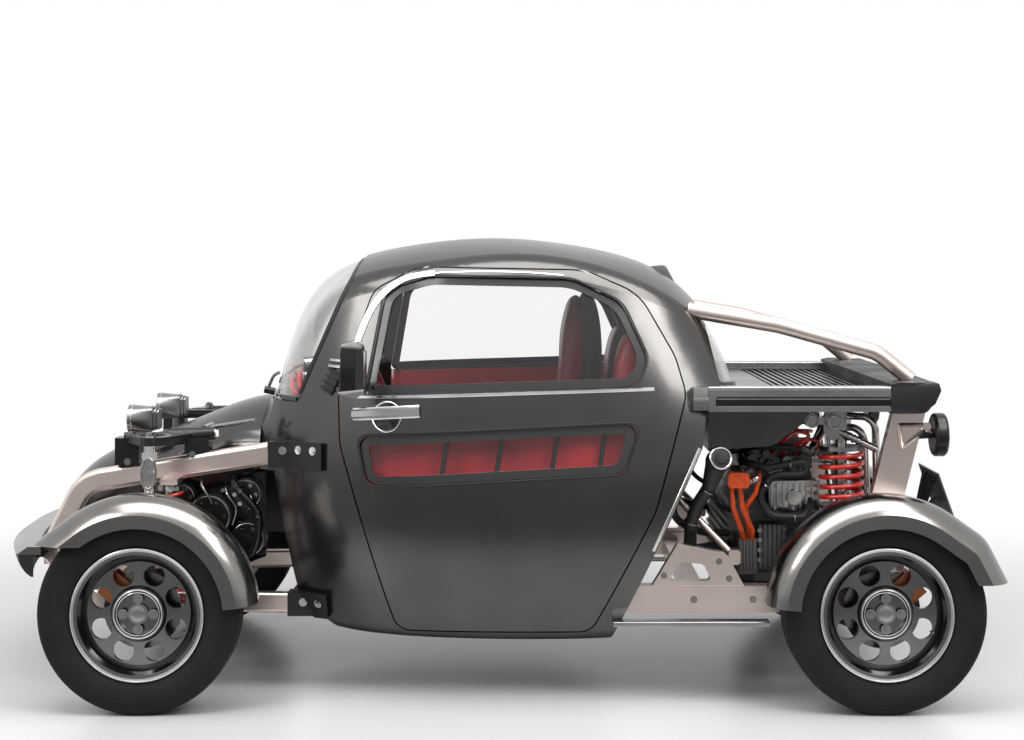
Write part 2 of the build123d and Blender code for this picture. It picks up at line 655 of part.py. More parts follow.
def build_rear_frame(outer):
    y0, y1 = rear_rail_y - rear_rail_width / 2, rear_rail_y + rear_rail_width / 2
    low = box(420, 1450, -y1, -y0, rear_rail_top - rear_rail_height, rear_rail_top) - outer
    gusset = side_prism([(560, rear_rail_top - 2), (647, 529), (812, 495), (872, rear_rail_top - 2)], [0, 0, 40, 0], -y1 + 6, -y0 - 12)
    gusset -= side_prism([(618, 402), (648, 466), (735, 458), (762, 402)], [10, 25, 25, 10], -y1, -y0)
    gusset -= outer
    clevis = fillet(box(822, 862, -600, -548, 452, 502).edges().filter_by(Axis.Y), 12)
    strut = bar((842, -562, 478), (628, -472, 694), 12) - outer
    post = side_prism([(1225, rear_rail_top - 2), (1376, 976), (1376 + post_width, 976), (1225 + post_width, rear_rail_top - 2)], [0, 0, 0, 0], -y1 + 5, -y0 - 5)
    side = low + gusset + post + clevis + strut
    stay = wing_stay(1322, -y1 + 10, 10, 696)
    subframe = box(1112, 1450, -434, -388, 250, 300) + box(1390, 1450, -440, -400, 356, 458)
    side = side + stay + subframe
    frame = side + side.mirror(Plane.XZ)
    for x in (720, 1420):
        frame += box(x - 30, x + 30, -y0 - 2, y0 + 2, 300, 360)
    frame += box(1120, 1170, -y0 - 2, y0 + 2, 296, 328)
    frame -= bar((1380, -300, 330), (1460, -300, 330), tow_thread_radius)
    save("rear_frame", frame)
    return frame


def build_roll_tubes(outer, cap):
    tube = tube_along([(690, -515, 1316), (1000, -545, 1264), (1330, -575, 1172), (1442, -583, 1082)], [500, 120], 27)
    tube = tube - outer - cap
    save("roll_tubes", mirrored(tube))


def build_deck(outer):
    """Side rails with the door's runner slot, the ribbed luggage deck and the black tail cap."""
    rail = box(741, 1350, -716, -662, deck_rail_bottom, deck_rail_top)
    rail = fillet(rail.edges().filter_by(Axis.X).group_by(Axis.Z)[-1], 6)
    rail -= box(765, 1350, -717, -692, 1000, 1025)
    rail -= outer
    save("deck_rails", mirrored(rail))
    tub = side_prism([(746, deck_z), (1350, deck_z), (1350, deck_z - 32), (1090, deck_z - 32), (1068, 940), (960, 862), (780, 850), (746, 850)],
                     [0, 0, 0, 10, 30, 60, 30, 0], -661, 661)
    tub -= box(1005, 1345, -600, 600, deck_z - 14, deck_z + 10)
    tub -= box(866, 870, -662, 662, deck_z - 2, deck_z + 1)
    tub = cut(tub, outer)
    pitch = 26
    for n in range(13):
        x = 1016 + n * pitch
        tub += box(x, x + 12, -600, 600, deck_z - 16, deck_z - 1)
    save("deck_tub", tub)
    plan = make_face(Polyline((1350.3, -716), (1450, -716), (1506, -640), (1524, 0), (1506, 640), (1450, 716), (1350.3, 716), close=True))
    plan = fillet(plan.vertices().filter_by(lambda v: 1440 < v.X < 1510), 45)
    cap = Pos(0, 0, 976) * extrude(plan, 104)
    profile = side_prism([(1350, 976), (1350, 1074), (1380, 1080), (1530, 1076), (1524, 1040), (1490, 976)], [0, 0, 30, 14, 60, 40], -720, 720)
    rear_cap = cap & profile
    save("rear_cap", rear_cap)
    return rear_cap, tub


def build_tail(frame):
    lamps = []
    brackets = []
    for _, side in SIDES:
        lamp = bar((1512, side * 600, 895), (1558, side * 600, 895), 73.5)
        lamp = fillet(lamp.edges(), 12)
        stem = bar((1440, side * 600, 890), (1513, side * 600, 895), 12) - frame
        lamps.append(lamp + stem)
    save("tail_lamps", lamps)
    tilt = math.degrees(math.atan2(54, 152))
    plate = Pos(1660, 0, 632) * Rot(0, -tilt, 0) * Box(5, 330, 165)
    stalk = bar((1430, 0, 345), (1665, 0, 600), 14)
    save("number_plate", (plate + stalk) - frame)


def build_engine(frame):
    """The mid-mounted engine: crankcase, finned cylinders standing out to each side, top cover,
    a ribbed control box and a cradle that rests on the rails."""
    engine = box(850, 1160, -330, 330, 350, 640) + box(900, 1150, -300, 300, 638, 735)
    cover = box(890, 1150, -310, 310, 733, 826)
    engine += fillet(cover.edges().filter_by(Axis.Y), 24)
    for n in range(8):
        z = 372 + n * 32
        engine += box(842, 1168, -338, 338, z, z + 12)
    fin_count, fin_pitch = 6, 19
    for _, side in SIDES:
        engine += box(990, 1140, side * 295, side * 446, 614, 716)
        for n in range(fin_count):
            z = 612 + n * fin_pitch
            engine += box(976, 1154, side * 320, side * 458, z, z + 8)
        engine += box(942, 1030, side * 325, side * 470, 428, 565)
        for n in range(6):
            x = 940 + n * 16.4
            engine += box(x, x + 9, side * 465, side * 482, 424, 571)
        engine += box(868, 930, side * 325, side * 500, 404, 528)
        engine += box(848, 884, side * 292, side * 548, 740, 756) + box(848, 935, side * 292, side * 330, 740, 756)
    engine += box(880, 940, -571, 571, 310, 352) - frame
    save("engine", engine)
    return engine


def build_exhaust(engine):
    """Two inner pipes that drop to a cross silencer and a pair of looped ones on each side."""
    shape = bar((1330, -300, 400), (1330, 300, 400), 62)
    for y in (-70, 70):
        shape += tube_along([(1150, y, 760), (1300, y, 760), (1330, y, 540), (1330, y, 432)], [50, 60], 24)
    for side in (-1, 1):
        outer = [(1148, 262, 790), (1186, 420, 946), (1336, 512, 946), (1350, 470, 700), (1330, 262, 440)]
        inner = [(1148, 215, 770), (1180, 430, 908), (1298, 498, 908), (1320, 440, 700), (1330, 205, 440)]
        for points in (outer, inner):
            shape += tube_along([(x, side * y, z) for x, y, z in points], [40, 44, 60], 13)
        shape += tube_along([(1330, side * 220, 400), (1500, side * 220, 400)], None, 30)
        shape += box(1318, 1342, side * 290, side * 560, 352, 376)
    save("exhaust", shape - engine)


def build_hoses(engine, tub):
    """On the left side the fuel filler with its neck, and the breather hose that loops back."""
    filler = bar((784, -702, 826), (776, -640, 808), 39)
    filler += Plane((778, -655, 812), z_dir=(-24, 50, -96)) * Cone(40, 25, 108, align=(Align.CENTER, Align.CENTER, Align.MIN))
    filler += tube_along([(753, -604, 716), (716, -580, 652), (696, -552, 580), (705, -450, 474), (852, -330, 474)], [50, 40, 50], 22)
    mouth = bar((788, -712, 829), (781, -680, 819), 27)
    breather = [
        (895, -305, 790), (880, -470, 790), (965, -515, 770), (1098, -520, 798), (1098, -520, 752),
        (980, -515, 747), (934, -510, 675), (975, -505, 606), (1090, -505, 600), (1120, -480, 640), (1120, -440, 660),
    ]
    loop = tube_along(breather, [40, 40, 20, 20, 50, 45, 45, 25, 14], 13)
    save("hoses", [cut(filler, mouth, engine, tub), cut(loop, engine, tub)])


def build_power_cables(engine):
    """The orange connector on its arm and the heavy cables that leave it for the control box."""
    plug = box(820, 892, -602, -546, 712, 764)
    plug = fillet(plug.edges().filter_by(Axis.Y), 14)
    routes = [
        ([(834, -572, 722), (840, -572, 640), (872, -530, 560), (890, -485, 515)], [30, 30]),
        ([(862, -572, 722), (872, -566, 640), (912, -520, 556), (912, -485, 515)], [30, 20]),
        ([(960, -300, 760), (930, -552, 742), (918, -556, 690), (884, -545, 640), (900, -500, 560), (904, -470, 505)], [24, 24, 24, 24]),
    ]
    wires = plug
    for points, radii in routes[:2]:
        wires += tube_along(points, radii, 9)
    lone = tube_along(*routes[2], 9)
    save("power_cables", [cut(wires, engine), cut(lone, engine, wires)])


def build_cabin_fittings():
    """Seats, dashboard and the driver's controls inside the pod."""
    inner = pod_skin(pod_wall)

    def seat(x, y, width, top):
        half = width / 2
        cushion = side_prism([(x - 480, 400), (x - 480, 520), (x, 480), (x + 40, 380), (x, 330), (x - 440, 330)], [30, 60, 20, 20, 30, 30], y - half, y + half)
        back = side_prism([(x - 40, 440), (x + 120, top - 240), (x + 150, top), (x + 235, top - 20), (x + 240, top - 250), (x + 95, 420)], [30, 200, 40, 40, 200, 30], y - half, y + half)
        shape = cushion + back
        shape -= box(x + 60, x + 300, y - half - 1, y - half * 0.55, top - 230, top + 40)
        shape -= box(x + 60, x + 300, y + half * 0.55, y + half + 1, top - 230, top + 40)
        plinth = box(x - 400, x - 40, y - half + 60, y + half - 60, 200, 332)
        return (shape + plinth) & inner
    save("seats", [seat(150, 0, 420, 1365), seat(330, -340, 320, 1240), seat(330, 340, 320, 1240)])
    dash = side_prism([(-690, 820), (-700, 960), (-600, 1010), (-500, 960), (-500, 880), (-560, 820)], [20, 40, 40, 30, 20, 20], -480, 480) & inner
    column_root, column_head = Vector(-540, 0, 930), Vector(-405, 0, 986.3)
    along = (column_head - column_root).normalized()
    hub_half = 13
    column = bar(column_root, column_head - along * (hub_half + running_gap), 24)
    save("dashboard", dash + column)
    wheel = Torus(165, 14) + Cylinder(48, 2 * hub_half)
    for angle in (0, 120, 240):
        wheel += Rot(0, 0, angle) * box(40, 160, -12, 12, -6, 6)
    save("steering_wheel", Plane(column_head, z_dir=along) * wheel)


def build_front_details(frame, outer):
    lamps = []
    for _, side in SIDES:
        y = side * 275
        front_ring = Plane(origin=(-1280, y, 919), x_dir=(0, 1, 0), z_dir=(1, 0, 0))
        lamp = extrude(front_ring * Circle(50), 16)
        lamp += loft([front_ring.offset(16) * Circle(50), front_ring.offset(82) * RectangleRounded(86, 88, 14)])
        for n in range(3):
            lamp += extrude(front_ring.offset(82 + n * 11) * RectangleRounded(80 - 4 * n, 82 - 6 * n, 10), 6)
        lamp += extrude(front_ring.offset(80) * RectangleRounded(56, 60, 8), 28)
        lamp -= extrude(front_ring * Circle(43), 7)
        stalk = bar((-1215, y, 890), (-1215, side * 300, 760), 12)
        lamps.append((lamp + stalk) - frame - hood_skin(0))
    save("headlamps", [l.solids().sort_by(SortBy.VOLUME)[-1] for l in lamps])
    unit = box(-1330, -880, -270, 270, 420, 560) + box(-1250, -920, -230, 230, 556, 660)
    for n in range(14):
        x = -1320 + n * 31
        unit += box(x, x + 10, -286, 286, 430, 548)
    unit += box(-1010, -990, -452, 452, 320, 430)
    rack_x = front_axle_x - rack_ahead
    unit += y_axis_cylinder(rack_x, -rack_housing_half, rack_housing_half, rack_z, 26)
    for y in (-150, 150):
        unit += box(rack_x - 14, rack_x + 14, y - 12, y + 12, rack_z + 10, 440)
    unit -= y_axis_cylinder(rack_x, -rack_housing_half - 1, rack_housing_half + 1, rack_z, rack_radius + running_gap)
    save("front_unit", unit - frame)
    mirrors = []
    for _, side in SIDES:
        outline = [(-470, 1212), (-428, 1226), (-402, 1206), (-397, 1062), (-424, 1040), (-478, 1054)]
        head = side_prism(outline, [10, 12, 16, 16, 12, 10], side * 776, side * 890)
        head -= side_prism([(-500, 1200), (-500, 1070), (-470, 1072), (-464, 1198)], [0, 0, 6, 6], side * 784, side * 882)
        arm = cut(bar((-480, side * 560, 1090), (-440, side * 800, 1094), 12), outer)
        arm += y_axis_cylinder(-448, side * 740, side * 780, 1092, 21)
        mirrors.append(head + arm)
    save("mirrors", mirrors)


def build_rack():
    """Steering rack bar with its two tie rods; each rod's end sits just under the steering arm."""
    x = front_axle_x - rack_ahead
    bar_shape = y_axis_cylinder(x, -330, 330, rack_z, rack_radius)
    end_y = kingpin_y(tyre_radius)
    rods = y_axis_cylinder(x, end_y, -end_y, rack_z, 8)
    ends = Pos(x, end_y, rack_z + 1) * Cylinder(14, 22) + Pos(x, -end_y, rack_z + 1) * Cylinder(14, 22)
    save("steering_rack", bar_shape + rods + ends)


def build_steps(outer):
    step = box(425, 950, -690, -630, 258, 276) - outer
    save("side_steps", mirrored(fillet(step.edges().filter_by(Axis.X), 5)))


pod = build_pod()
build_hood()
build_grille()
front_frame = build_front_frame()
build_rail_brackets(pod, front_frame)
build_front_bumper(front_frame)
build_corner_pieces()
rear_frame = build_rear_frame(pod)
front_arm, rear_arm = build_suspension(front_frame, rear_frame)
build_springs(front_arm, rear_arm)
rear_cap, deck_tub = build_deck(pod)
build_roll_tubes(pod, rear_cap)
build_tail(rear_frame)
engine = build_engine(rear_frame)
build_exhaust(engine)
build_hoses(engine, deck_tub)
build_power_cables(engine)
build_cabin_fittings()
build_front_details(front_frame, pod)
build_rack()
build_steps(pod)
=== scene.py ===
# %% [markdown]
# A small three-seat car whose frame, front suspension and engine are open to view. The solids come
# from the CAD model already at their real size and in their real places, so this lesson is about
# what turns solids into a believable object: finishes, the small parts that catch the eye, soft
# seats, and studio light. Everything is in metres. X runs to the car's tail, Y to its right side
# and Z up, and the ground is at Z = 0.

# %% Load the frame of CAD bodies
import math
import random

import bmesh
import bpy
from mathutils import Matrix, Vector
from mathutils.bvhtree import BVHTree


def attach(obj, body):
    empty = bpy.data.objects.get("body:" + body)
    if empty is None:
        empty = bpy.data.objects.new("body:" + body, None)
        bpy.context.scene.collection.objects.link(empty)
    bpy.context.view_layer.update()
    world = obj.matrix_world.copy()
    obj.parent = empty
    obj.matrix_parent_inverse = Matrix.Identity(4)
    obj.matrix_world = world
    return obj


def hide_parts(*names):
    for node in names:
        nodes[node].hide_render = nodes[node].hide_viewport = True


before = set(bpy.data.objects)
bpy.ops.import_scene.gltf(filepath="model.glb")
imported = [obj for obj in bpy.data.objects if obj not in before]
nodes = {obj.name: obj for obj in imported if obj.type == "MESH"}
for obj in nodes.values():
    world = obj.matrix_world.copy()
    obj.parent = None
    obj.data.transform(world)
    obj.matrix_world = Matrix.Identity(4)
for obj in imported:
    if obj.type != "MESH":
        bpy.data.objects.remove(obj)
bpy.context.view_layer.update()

LEFT, RIGHT = -1, 1
SIDES = ((LEFT, "left"), (RIGHT, "right"))
AXLES = {"front": -1.14, "rear": 1.31}
WHEEL_Y, TYRE_R = 0.775, 0.33

# %% [markdown]
# The photograph was taken from seven metres away, square to the car's left side, with the camera
# level at 1.53 m. A level camera keeps upright lines upright; the lens is then shifted down a
# little so that the car sits low in the picture, just as a view camera would do it.

# %% The camera
camera = bpy.data.objects.new("camera", bpy.data.cameras.new("camera"))
bpy.context.scene.collection.objects.link(camera)
camera.location = (0.085, -7.0, 1.532)
camera.rotation_euler = (math.pi / 2, 0, 0)
camera.data.sensor_width = 36
camera.data.lens = 66.2
camera.data.shift_y = -0.12
bpy.context.scene.camera = camera
bpy.context.scene.view_settings.view_transform = "Standard"
print("camera", camera.data.lens, "mm, at", [round(v, 3) for v in camera.location])

# %% [markdown]
# Shader maths reads best as arithmetic. A Value wraps one socket, and adding, multiplying or
# comparing Values adds Math nodes behind the scenes. Nodes stands for one node tree, and its node
# method makes any other node from a type, its settings and what goes into its sockets. A Finish is
# the tree of one material, with ways to make it cloudy, grainy or worn.

# %% A socket that can be used in arithmetic
class Value:
    def __init__(self, tree, socket):
        self.tree, self.socket = tree, socket

    def _math(self, operation, first, second=0.0):
        return self.tree.node("ShaderNodeMath", {"operation": operation}, [first, second])

    def __add__(self, other):
        return self._math("ADD", self, other)

    def __sub__(self, other):
        return self._math("SUBTRACT", self, other)

    def __rsub__(self, other):
        return self._math("SUBTRACT", other, self)

    def __mul__(self, other):
        return self._math("MULTIPLY", self, other)

    def __gt__(self, other):
        return self._math("GREATER_THAN", self, other)

    def __abs__(self):
        return self._math("ABSOLUTE", self)

    def most(self, other):
        return self._math("MAXIMUM", self, other)

    def sine(self):
        return self._math("SINE", self)

    def around(self, height):
        """The angle of a point about an axle."""
        return self._math("ARCTAN2", self, height)

    def ramp(self, low, high, to_low=0.0, to_high=1.0):
        settings = {"interpolation_type": "SMOOTHSTEP"}
        return self.tree.node("ShaderNodeMapRange", settings, [self, low, high, to_low, to_high])

    __radd__ = __add__
    __rmul__ = __mul__


# %% A node tree, and a finish, which is one material
class Nodes:
    def __init__(self, tree):
        self.nodes, self.links = tree.nodes, tree.links

    def node(self, kind, settings, inputs, output=0):
        made = self.nodes.new(kind)
        for key, setting in settings.items():
            setattr(made, key, setting)
        for key, value in inputs.items() if isinstance(inputs, dict) else enumerate(inputs):
            self.put(made, key, value)
        return Value(self, made.outputs[output])

    def put(self, made, key, value):
        if isinstance(value, Value):
            self.links.new(value.socket, made.inputs[key])
        else:
            made.inputs[key].default_value = value

    def axes(self, vector, names):
        return [self.node("ShaderNodeSeparateXYZ", {}, [vector], name) for name in names]


class Finish(Nodes):
    def __init__(self, name, colour, rough, metal=0.0, slot=None, **sockets):
        self.material = bpy.data.materials.new(name)
        self.material.use_nodes = True
        self.material.diffuse_color = (*colour, 1)
        super().__init__(self.material.node_tree)
        self.colour, self.slot = (*colour, 1), slot
        self.feed(**{"Base Color": self.colour, "Roughness": rough, "Metallic": metal}, **sockets)
        print("finish", name)

    def feed(self, **sockets):
        for key, value in sockets.items():
            self.put(self.nodes["Principled BSDF"], key, value)
        return self

    def surface(self, shader):
        self.put(self.nodes["Material Output"], "Surface", shader)
        return self

    def place(self):
        return self.node("ShaderNodeTexCoord", {}, {}, "Object")

    def noise(self, scale, detail=3.0):
        inputs = {"Vector": self.place(), "Scale": scale, "Detail": detail}
        return self.node("ShaderNodeTexNoise", {}, inputs, "Fac")

    def mix(self, factor, first, second):
        inputs = {"Factor": factor, 6: first, 7: second}
        return self.node("ShaderNodeMix", {"data_type": "RGBA"}, inputs, 2)

    def bump(self, height, strength, distance):
        inputs = {"Height": height, "Strength": strength, "Distance": distance}
        return self.feed(Normal=self.node("ShaderNodeBump", {}, inputs, "Normal"))

    def cloudy(self, scale, darker, detail=3.0, low=0.4, high=0.7):
        """The finish's own colour, varied towards a darker or lighter copy of itself."""
        other = tuple(min(c * darker, 1) for c in self.colour[:3]) + (1,)
        factor = self.noise(scale, detail).ramp(low, high)
        return self.feed(**{"Base Color": self.mix(factor, self.colour, other)})

    def grainy(self, scale, strength, distance, detail=2.0):
        return self.bump(self.noise(scale, detail), strength, distance)

    def worn(self, scale, low, high, detail=3.0):
        """A roughness that wanders between two values."""
        return self.feed(Roughness=self.noise(scale, detail).ramp(0.3, 0.7, low, high))


# %% [markdown]
# The body is a dark polished metal with a clear coat, the wings are the same metal left lighter,
# and the frame is anodised in a pinkish copper. All three are metals, so their look is mostly what
# they reflect: the colour stays low and the roughness decides how sharp the studio shows. A very
# fine noise in the roughness keeps the large panels from looking like plastic.

# %% Large metal finishes
def brushed(name, colour, rough, metal=1.0, darker=0.8, slot=None, **sockets):
    finish = Finish(name, colour, rough, metal, slot, **sockets)
    return finish.worn(3.0, rough * 0.88, rough * 1.15, 4.0).cloudy(7.0, darker, 5.0, 0.35)


BODY_COAT = {"Coat Weight": 0.25, "Coat Roughness": 0.08, "Specular Tint": (0.6, 0.6, 0.6, 1)}
body_paint = brushed("gunmetal_body", (0.092, 0.089, 0.086), 0.22, 0.92, 0.88, **BODY_COAT)
wing_metal = brushed("satin_wing", (0.235, 0.226, 0.218), 0.2, 1.0, 0.92)
frame_metal = brushed("copper_anodised", (0.78, 0.66, 0.61), 0.32, 1.0, 0.92, "frame_metal")
bright_metal = brushed("polished_steel", (0.72, 0.71, 0.7), 0.14, slot="bright_metal")
satin_alloy = brushed("satin_alloy", (0.4, 0.395, 0.39), 0.22, slot="bright_metal")
lamp_housing = brushed("lamp_housing", (0.33, 0.328, 0.325), 0.3)
rail_alloy = brushed("rail_alloy", (0.42, 0.417, 0.413), 0.22, slot="alloy")
wheel_alloy = brushed("wheel_alloy", (0.2, 0.2, 0.198), 0.22)
cast_alloy = brushed("cast_alloy", (0.16, 0.158, 0.155), 0.45, slot="cast_alloy")
cast_alloy.grainy(260, 0.35, 0.0006)
copper_caliper = brushed("copper_caliper", (0.42, 0.15, 0.075), 0.35)
dark_steel = brushed("dark_steel", (0.05, 0.05, 0.052), 0.38, slot="black_plastic")

# %% [markdown]
# Black parts are never quite black. Moulded plastic has a fine leathery grain and a dull sheen,
# coated metal is smoother, and rubber is softest of all.

# %% Dark and coloured finishes
BLACK = "black_plastic"
FAINT = {"Specular IOR Level": 0.4}
black_plastic = Finish("black_moulding", (0.01, 0.01, 0.0105), 0.45, slot=BLACK, **FAINT)
black_plastic.grainy(900, 0.25, 0.0003).worn(5, 0.42, 0.58)
black_coat = Finish("black_coating", (0.016, 0.016, 0.017), 0.26, 0.4, BLACK)
black_coat.worn(14, 0.2, 0.34, 4)
gloss_black = Finish("black_gloss", (0.008, 0.008, 0.009), 0.12, slot=BLACK).worn(6, 0.09, 0.17)
hose_rubber = Finish("hose_rubber", (0.016, 0.016, 0.017), 0.55, slot="hose_rubber")
hose_rubber.grainy(1400, 0.3, 0.0002).cloudy(18, 1.8)
GLAZE = {"Coat Weight": 0.6}
spring_red = Finish("spring_red", (0.6, 0.022, 0.016), 0.28, slot="spring_paint", **GLAZE)
spring_red.cloudy(40, 0.8)
cable_orange = Finish("cable_orange", (0.72, 0.085, 0.012), 0.42).cloudy(60, 0.7)
plate_grey = Finish("plate_grey", (0.15, 0.145, 0.14), 0.4, 0.6, "alloy").cloudy(30, 0.85)

# %% [markdown]
# The tread is drawn with a bump. Each tyre stands at the same distance from the car's middle, so
# folding the car's length and width with abs brings all four onto one: grooves run round it at
# equal steps across, and slanted sipes follow the angle about the axle.

# %% Tyre rubber
DULL = {"Specular IOR Level": 0.17}
TREAD_DEPTH, GROOVE_STEP, SIPES_PER_RADIAN = 0.009, 0.047, 74
tyre_rubber = Finish("tyre_rubber", (0.0115, 0.0115, 0.012), 0.7, slot="tyre_rubber", **DULL)
local_x, local_y, local_z = tyre_rubber.axes(tyre_rubber.place(), "XYZ")
axle_gap = (AXLES["rear"] - AXLES["front"]) / 2
from_axle = abs(local_x - (AXLES["front"] + AXLES["rear"]) / 2) - axle_gap
height = local_z - TYRE_R
on_tread = (from_axle * from_axle + height * height) > (TYRE_R - TREAD_DEPTH) ** 2
across_tread = abs(local_y) - WHEEL_Y
grooves = (across_tread * (2 * math.pi / GROOVE_STEP)).sine() > 0.72
sipes = ((from_axle.around(height) + across_tread * 1.2) * SIPES_PER_RADIAN).sine() > 0.82
grain = tyre_rubber.noise(700, 2.0) * 0.06
tyre_rubber.bump((grooves + sipes * 0.5) * on_tread * -1 + grain, 0.9, 0.005)
tyre_rubber.cloudy(9, 1.35, 4, 0.35, 0.75)

# %% [markdown]
# The cabin is trimmed in deep red hide. Leather is a field of tiny cells, so a Voronoi pattern
# gives the bump, and a slow noise varies the colour where it has been handled.

# %% Leather and cloth
HIDE = "seat_leather"
red_leather = Finish("red_leather", (0.4, 0.01, 0.018), 0.42, 0, HIDE, **{"Coat Weight": 0.1})
cells = {"Vector": red_leather.place(), "Scale": 420.0}
cells = red_leather.node("ShaderNodeTexVoronoi", {"feature": "DISTANCE_TO_EDGE"}, cells)
red_leather.bump(cells.ramp(0.0, 0.35), 0.35, 0.0006).cloudy(8, 0.62, 5, 0.35)
red_trim = Finish("red_trim", (0.7, 0.035, 0.05), 0.4, slot=HIDE).cloudy(6, 0.75, 4, 0.35)
dark_trim = Finish("dark_trim", (0.022, 0.02, 0.021), 0.7, slot=BLACK)
dark_trim.grainy(800, 0.4, 0.0005, 3.0)

# %% [markdown]
# Glass here is thin and clear with the faintest grey, so a mix of a clear pass-through and a sharp
# reflection that grows towards grazing angles does it, without the dark look of solid glass. The
# facing of a Layer Weight serves both faces of a pane alike, so nothing is mirrored inside it.

# %% Glass
def clear_pane(name, tint, gloss, slot=None):
    pane = Finish(name, tint, 0.03, slot=slot)
    pane.material.surface_render_method = "BLENDED"
    through = pane.node("ShaderNodeBsdfTransparent", {}, {"Color": (*tint, 1)})
    mirror = pane.node("ShaderNodeBsdfGlossy", {}, {"Color": (1, 1, 1, 1), "Roughness": 0.02})
    facing = pane.node("ShaderNodeLayerWeight", {}, {"Blend": 0.5}, "Facing")
    amount = facing.ramp(0.35, 1.0, 0.03, gloss)
    return pane.surface(pane.node("ShaderNodeMixShader", {}, [amount, through, mirror]))


window_glass = clear_pane("window_glass", (0.99, 0.99, 0.99), 0.3)
screen_glass = clear_pane("screen_glass", (0.95, 0.945, 0.94), 0.6)
low_glass = clear_pane("low_pane_glass", (0.93, 0.92, 0.92), 0.35)
smoked_edge = Finish("smoked_edge", (0.035, 0.034, 0.034), 0.15, slot=BLACK)
lens_glass = clear_pane("lens_glass", (0.85, 0.85, 0.85), 0.8, "lamp_lens")

# %% [markdown]
# CAD faces come in flat. Marking them smooth, with a hard edge wherever two faces meet at more than
# 28 degrees, keeps the pressed panels round and the machined edges crisp. No point is moved.

# %% Dress the CAD nodes
DRESS = {
    body_paint: ("cabin_shell", "door_left", "door_right", "hood", "deck_tub", "mirrors"),
    wing_metal: ("bumper_blade", "rear_wings", "front_wing_left", "front_wing_right"),
    frame_metal: ("front_frame", "rear_frame", "roll_tubes"),
    bright_metal: ("exhaust", "knuckle_left", "knuckle_right"),
    satin_alloy: ("dampers", "side_steps"),
    cast_alloy: ("engine", "steering_rack"),
    copper_caliper: ("rear_calipers", "front_caliper_left", "front_caliper_right"),
    black_plastic: ("rail_brackets", "front_bumper", "rear_cap"),
    black_coat: ("grille", "front_arms", "rear_arms", "tail_lamps"),
    red_leather: ("seats", "dashboard"),
    screen_glass: ("windscreen", "rear_window"),
    window_glass: ("side_glass",), lamp_housing: ("headlamps",), rail_alloy: ("deck_rails",),
    spring_red: ("coil_springs",), cable_orange: ("power_cables",), dark_steel: ("front_unit",),
    hose_rubber: ("hoses",), plate_grey: ("number_plate",), dark_trim: ("steering_wheel",),
    wheel_alloy: [f"rim_{end}_{word}" for end in AXLES for _, word in SIDES],
    tyre_rubber: [f"tyre_{end}_{word}" for end in AXLES for _, word in SIDES],
}
SHARP = math.radians(28)
dressed = [(name, finish) for finish, names in DRESS.items() for name in names]
for name, finish in dressed:
    mesh = nodes[name].data
    mesh.materials.clear()
    mesh.materials.append(finish.material)
    mesh.shade_smooth()
    mesh.set_sharp_from_angle(angle=SHARP)
print("dressed", len(dressed), "of", len(nodes), "nodes")

# %% [markdown]
# Small pieces are made by a Kit. It gathers boxes, rods, rings, tubes and bands in one mesh, can
# mirror what it holds to the car's other side, and at the end turns it into one object that rides
# on a body. Rods and tubes get enough sides to look round at this distance and no more. A row is
# written as a comprehension or a loop, and what has a twin on the right is drawn once and mirrored.

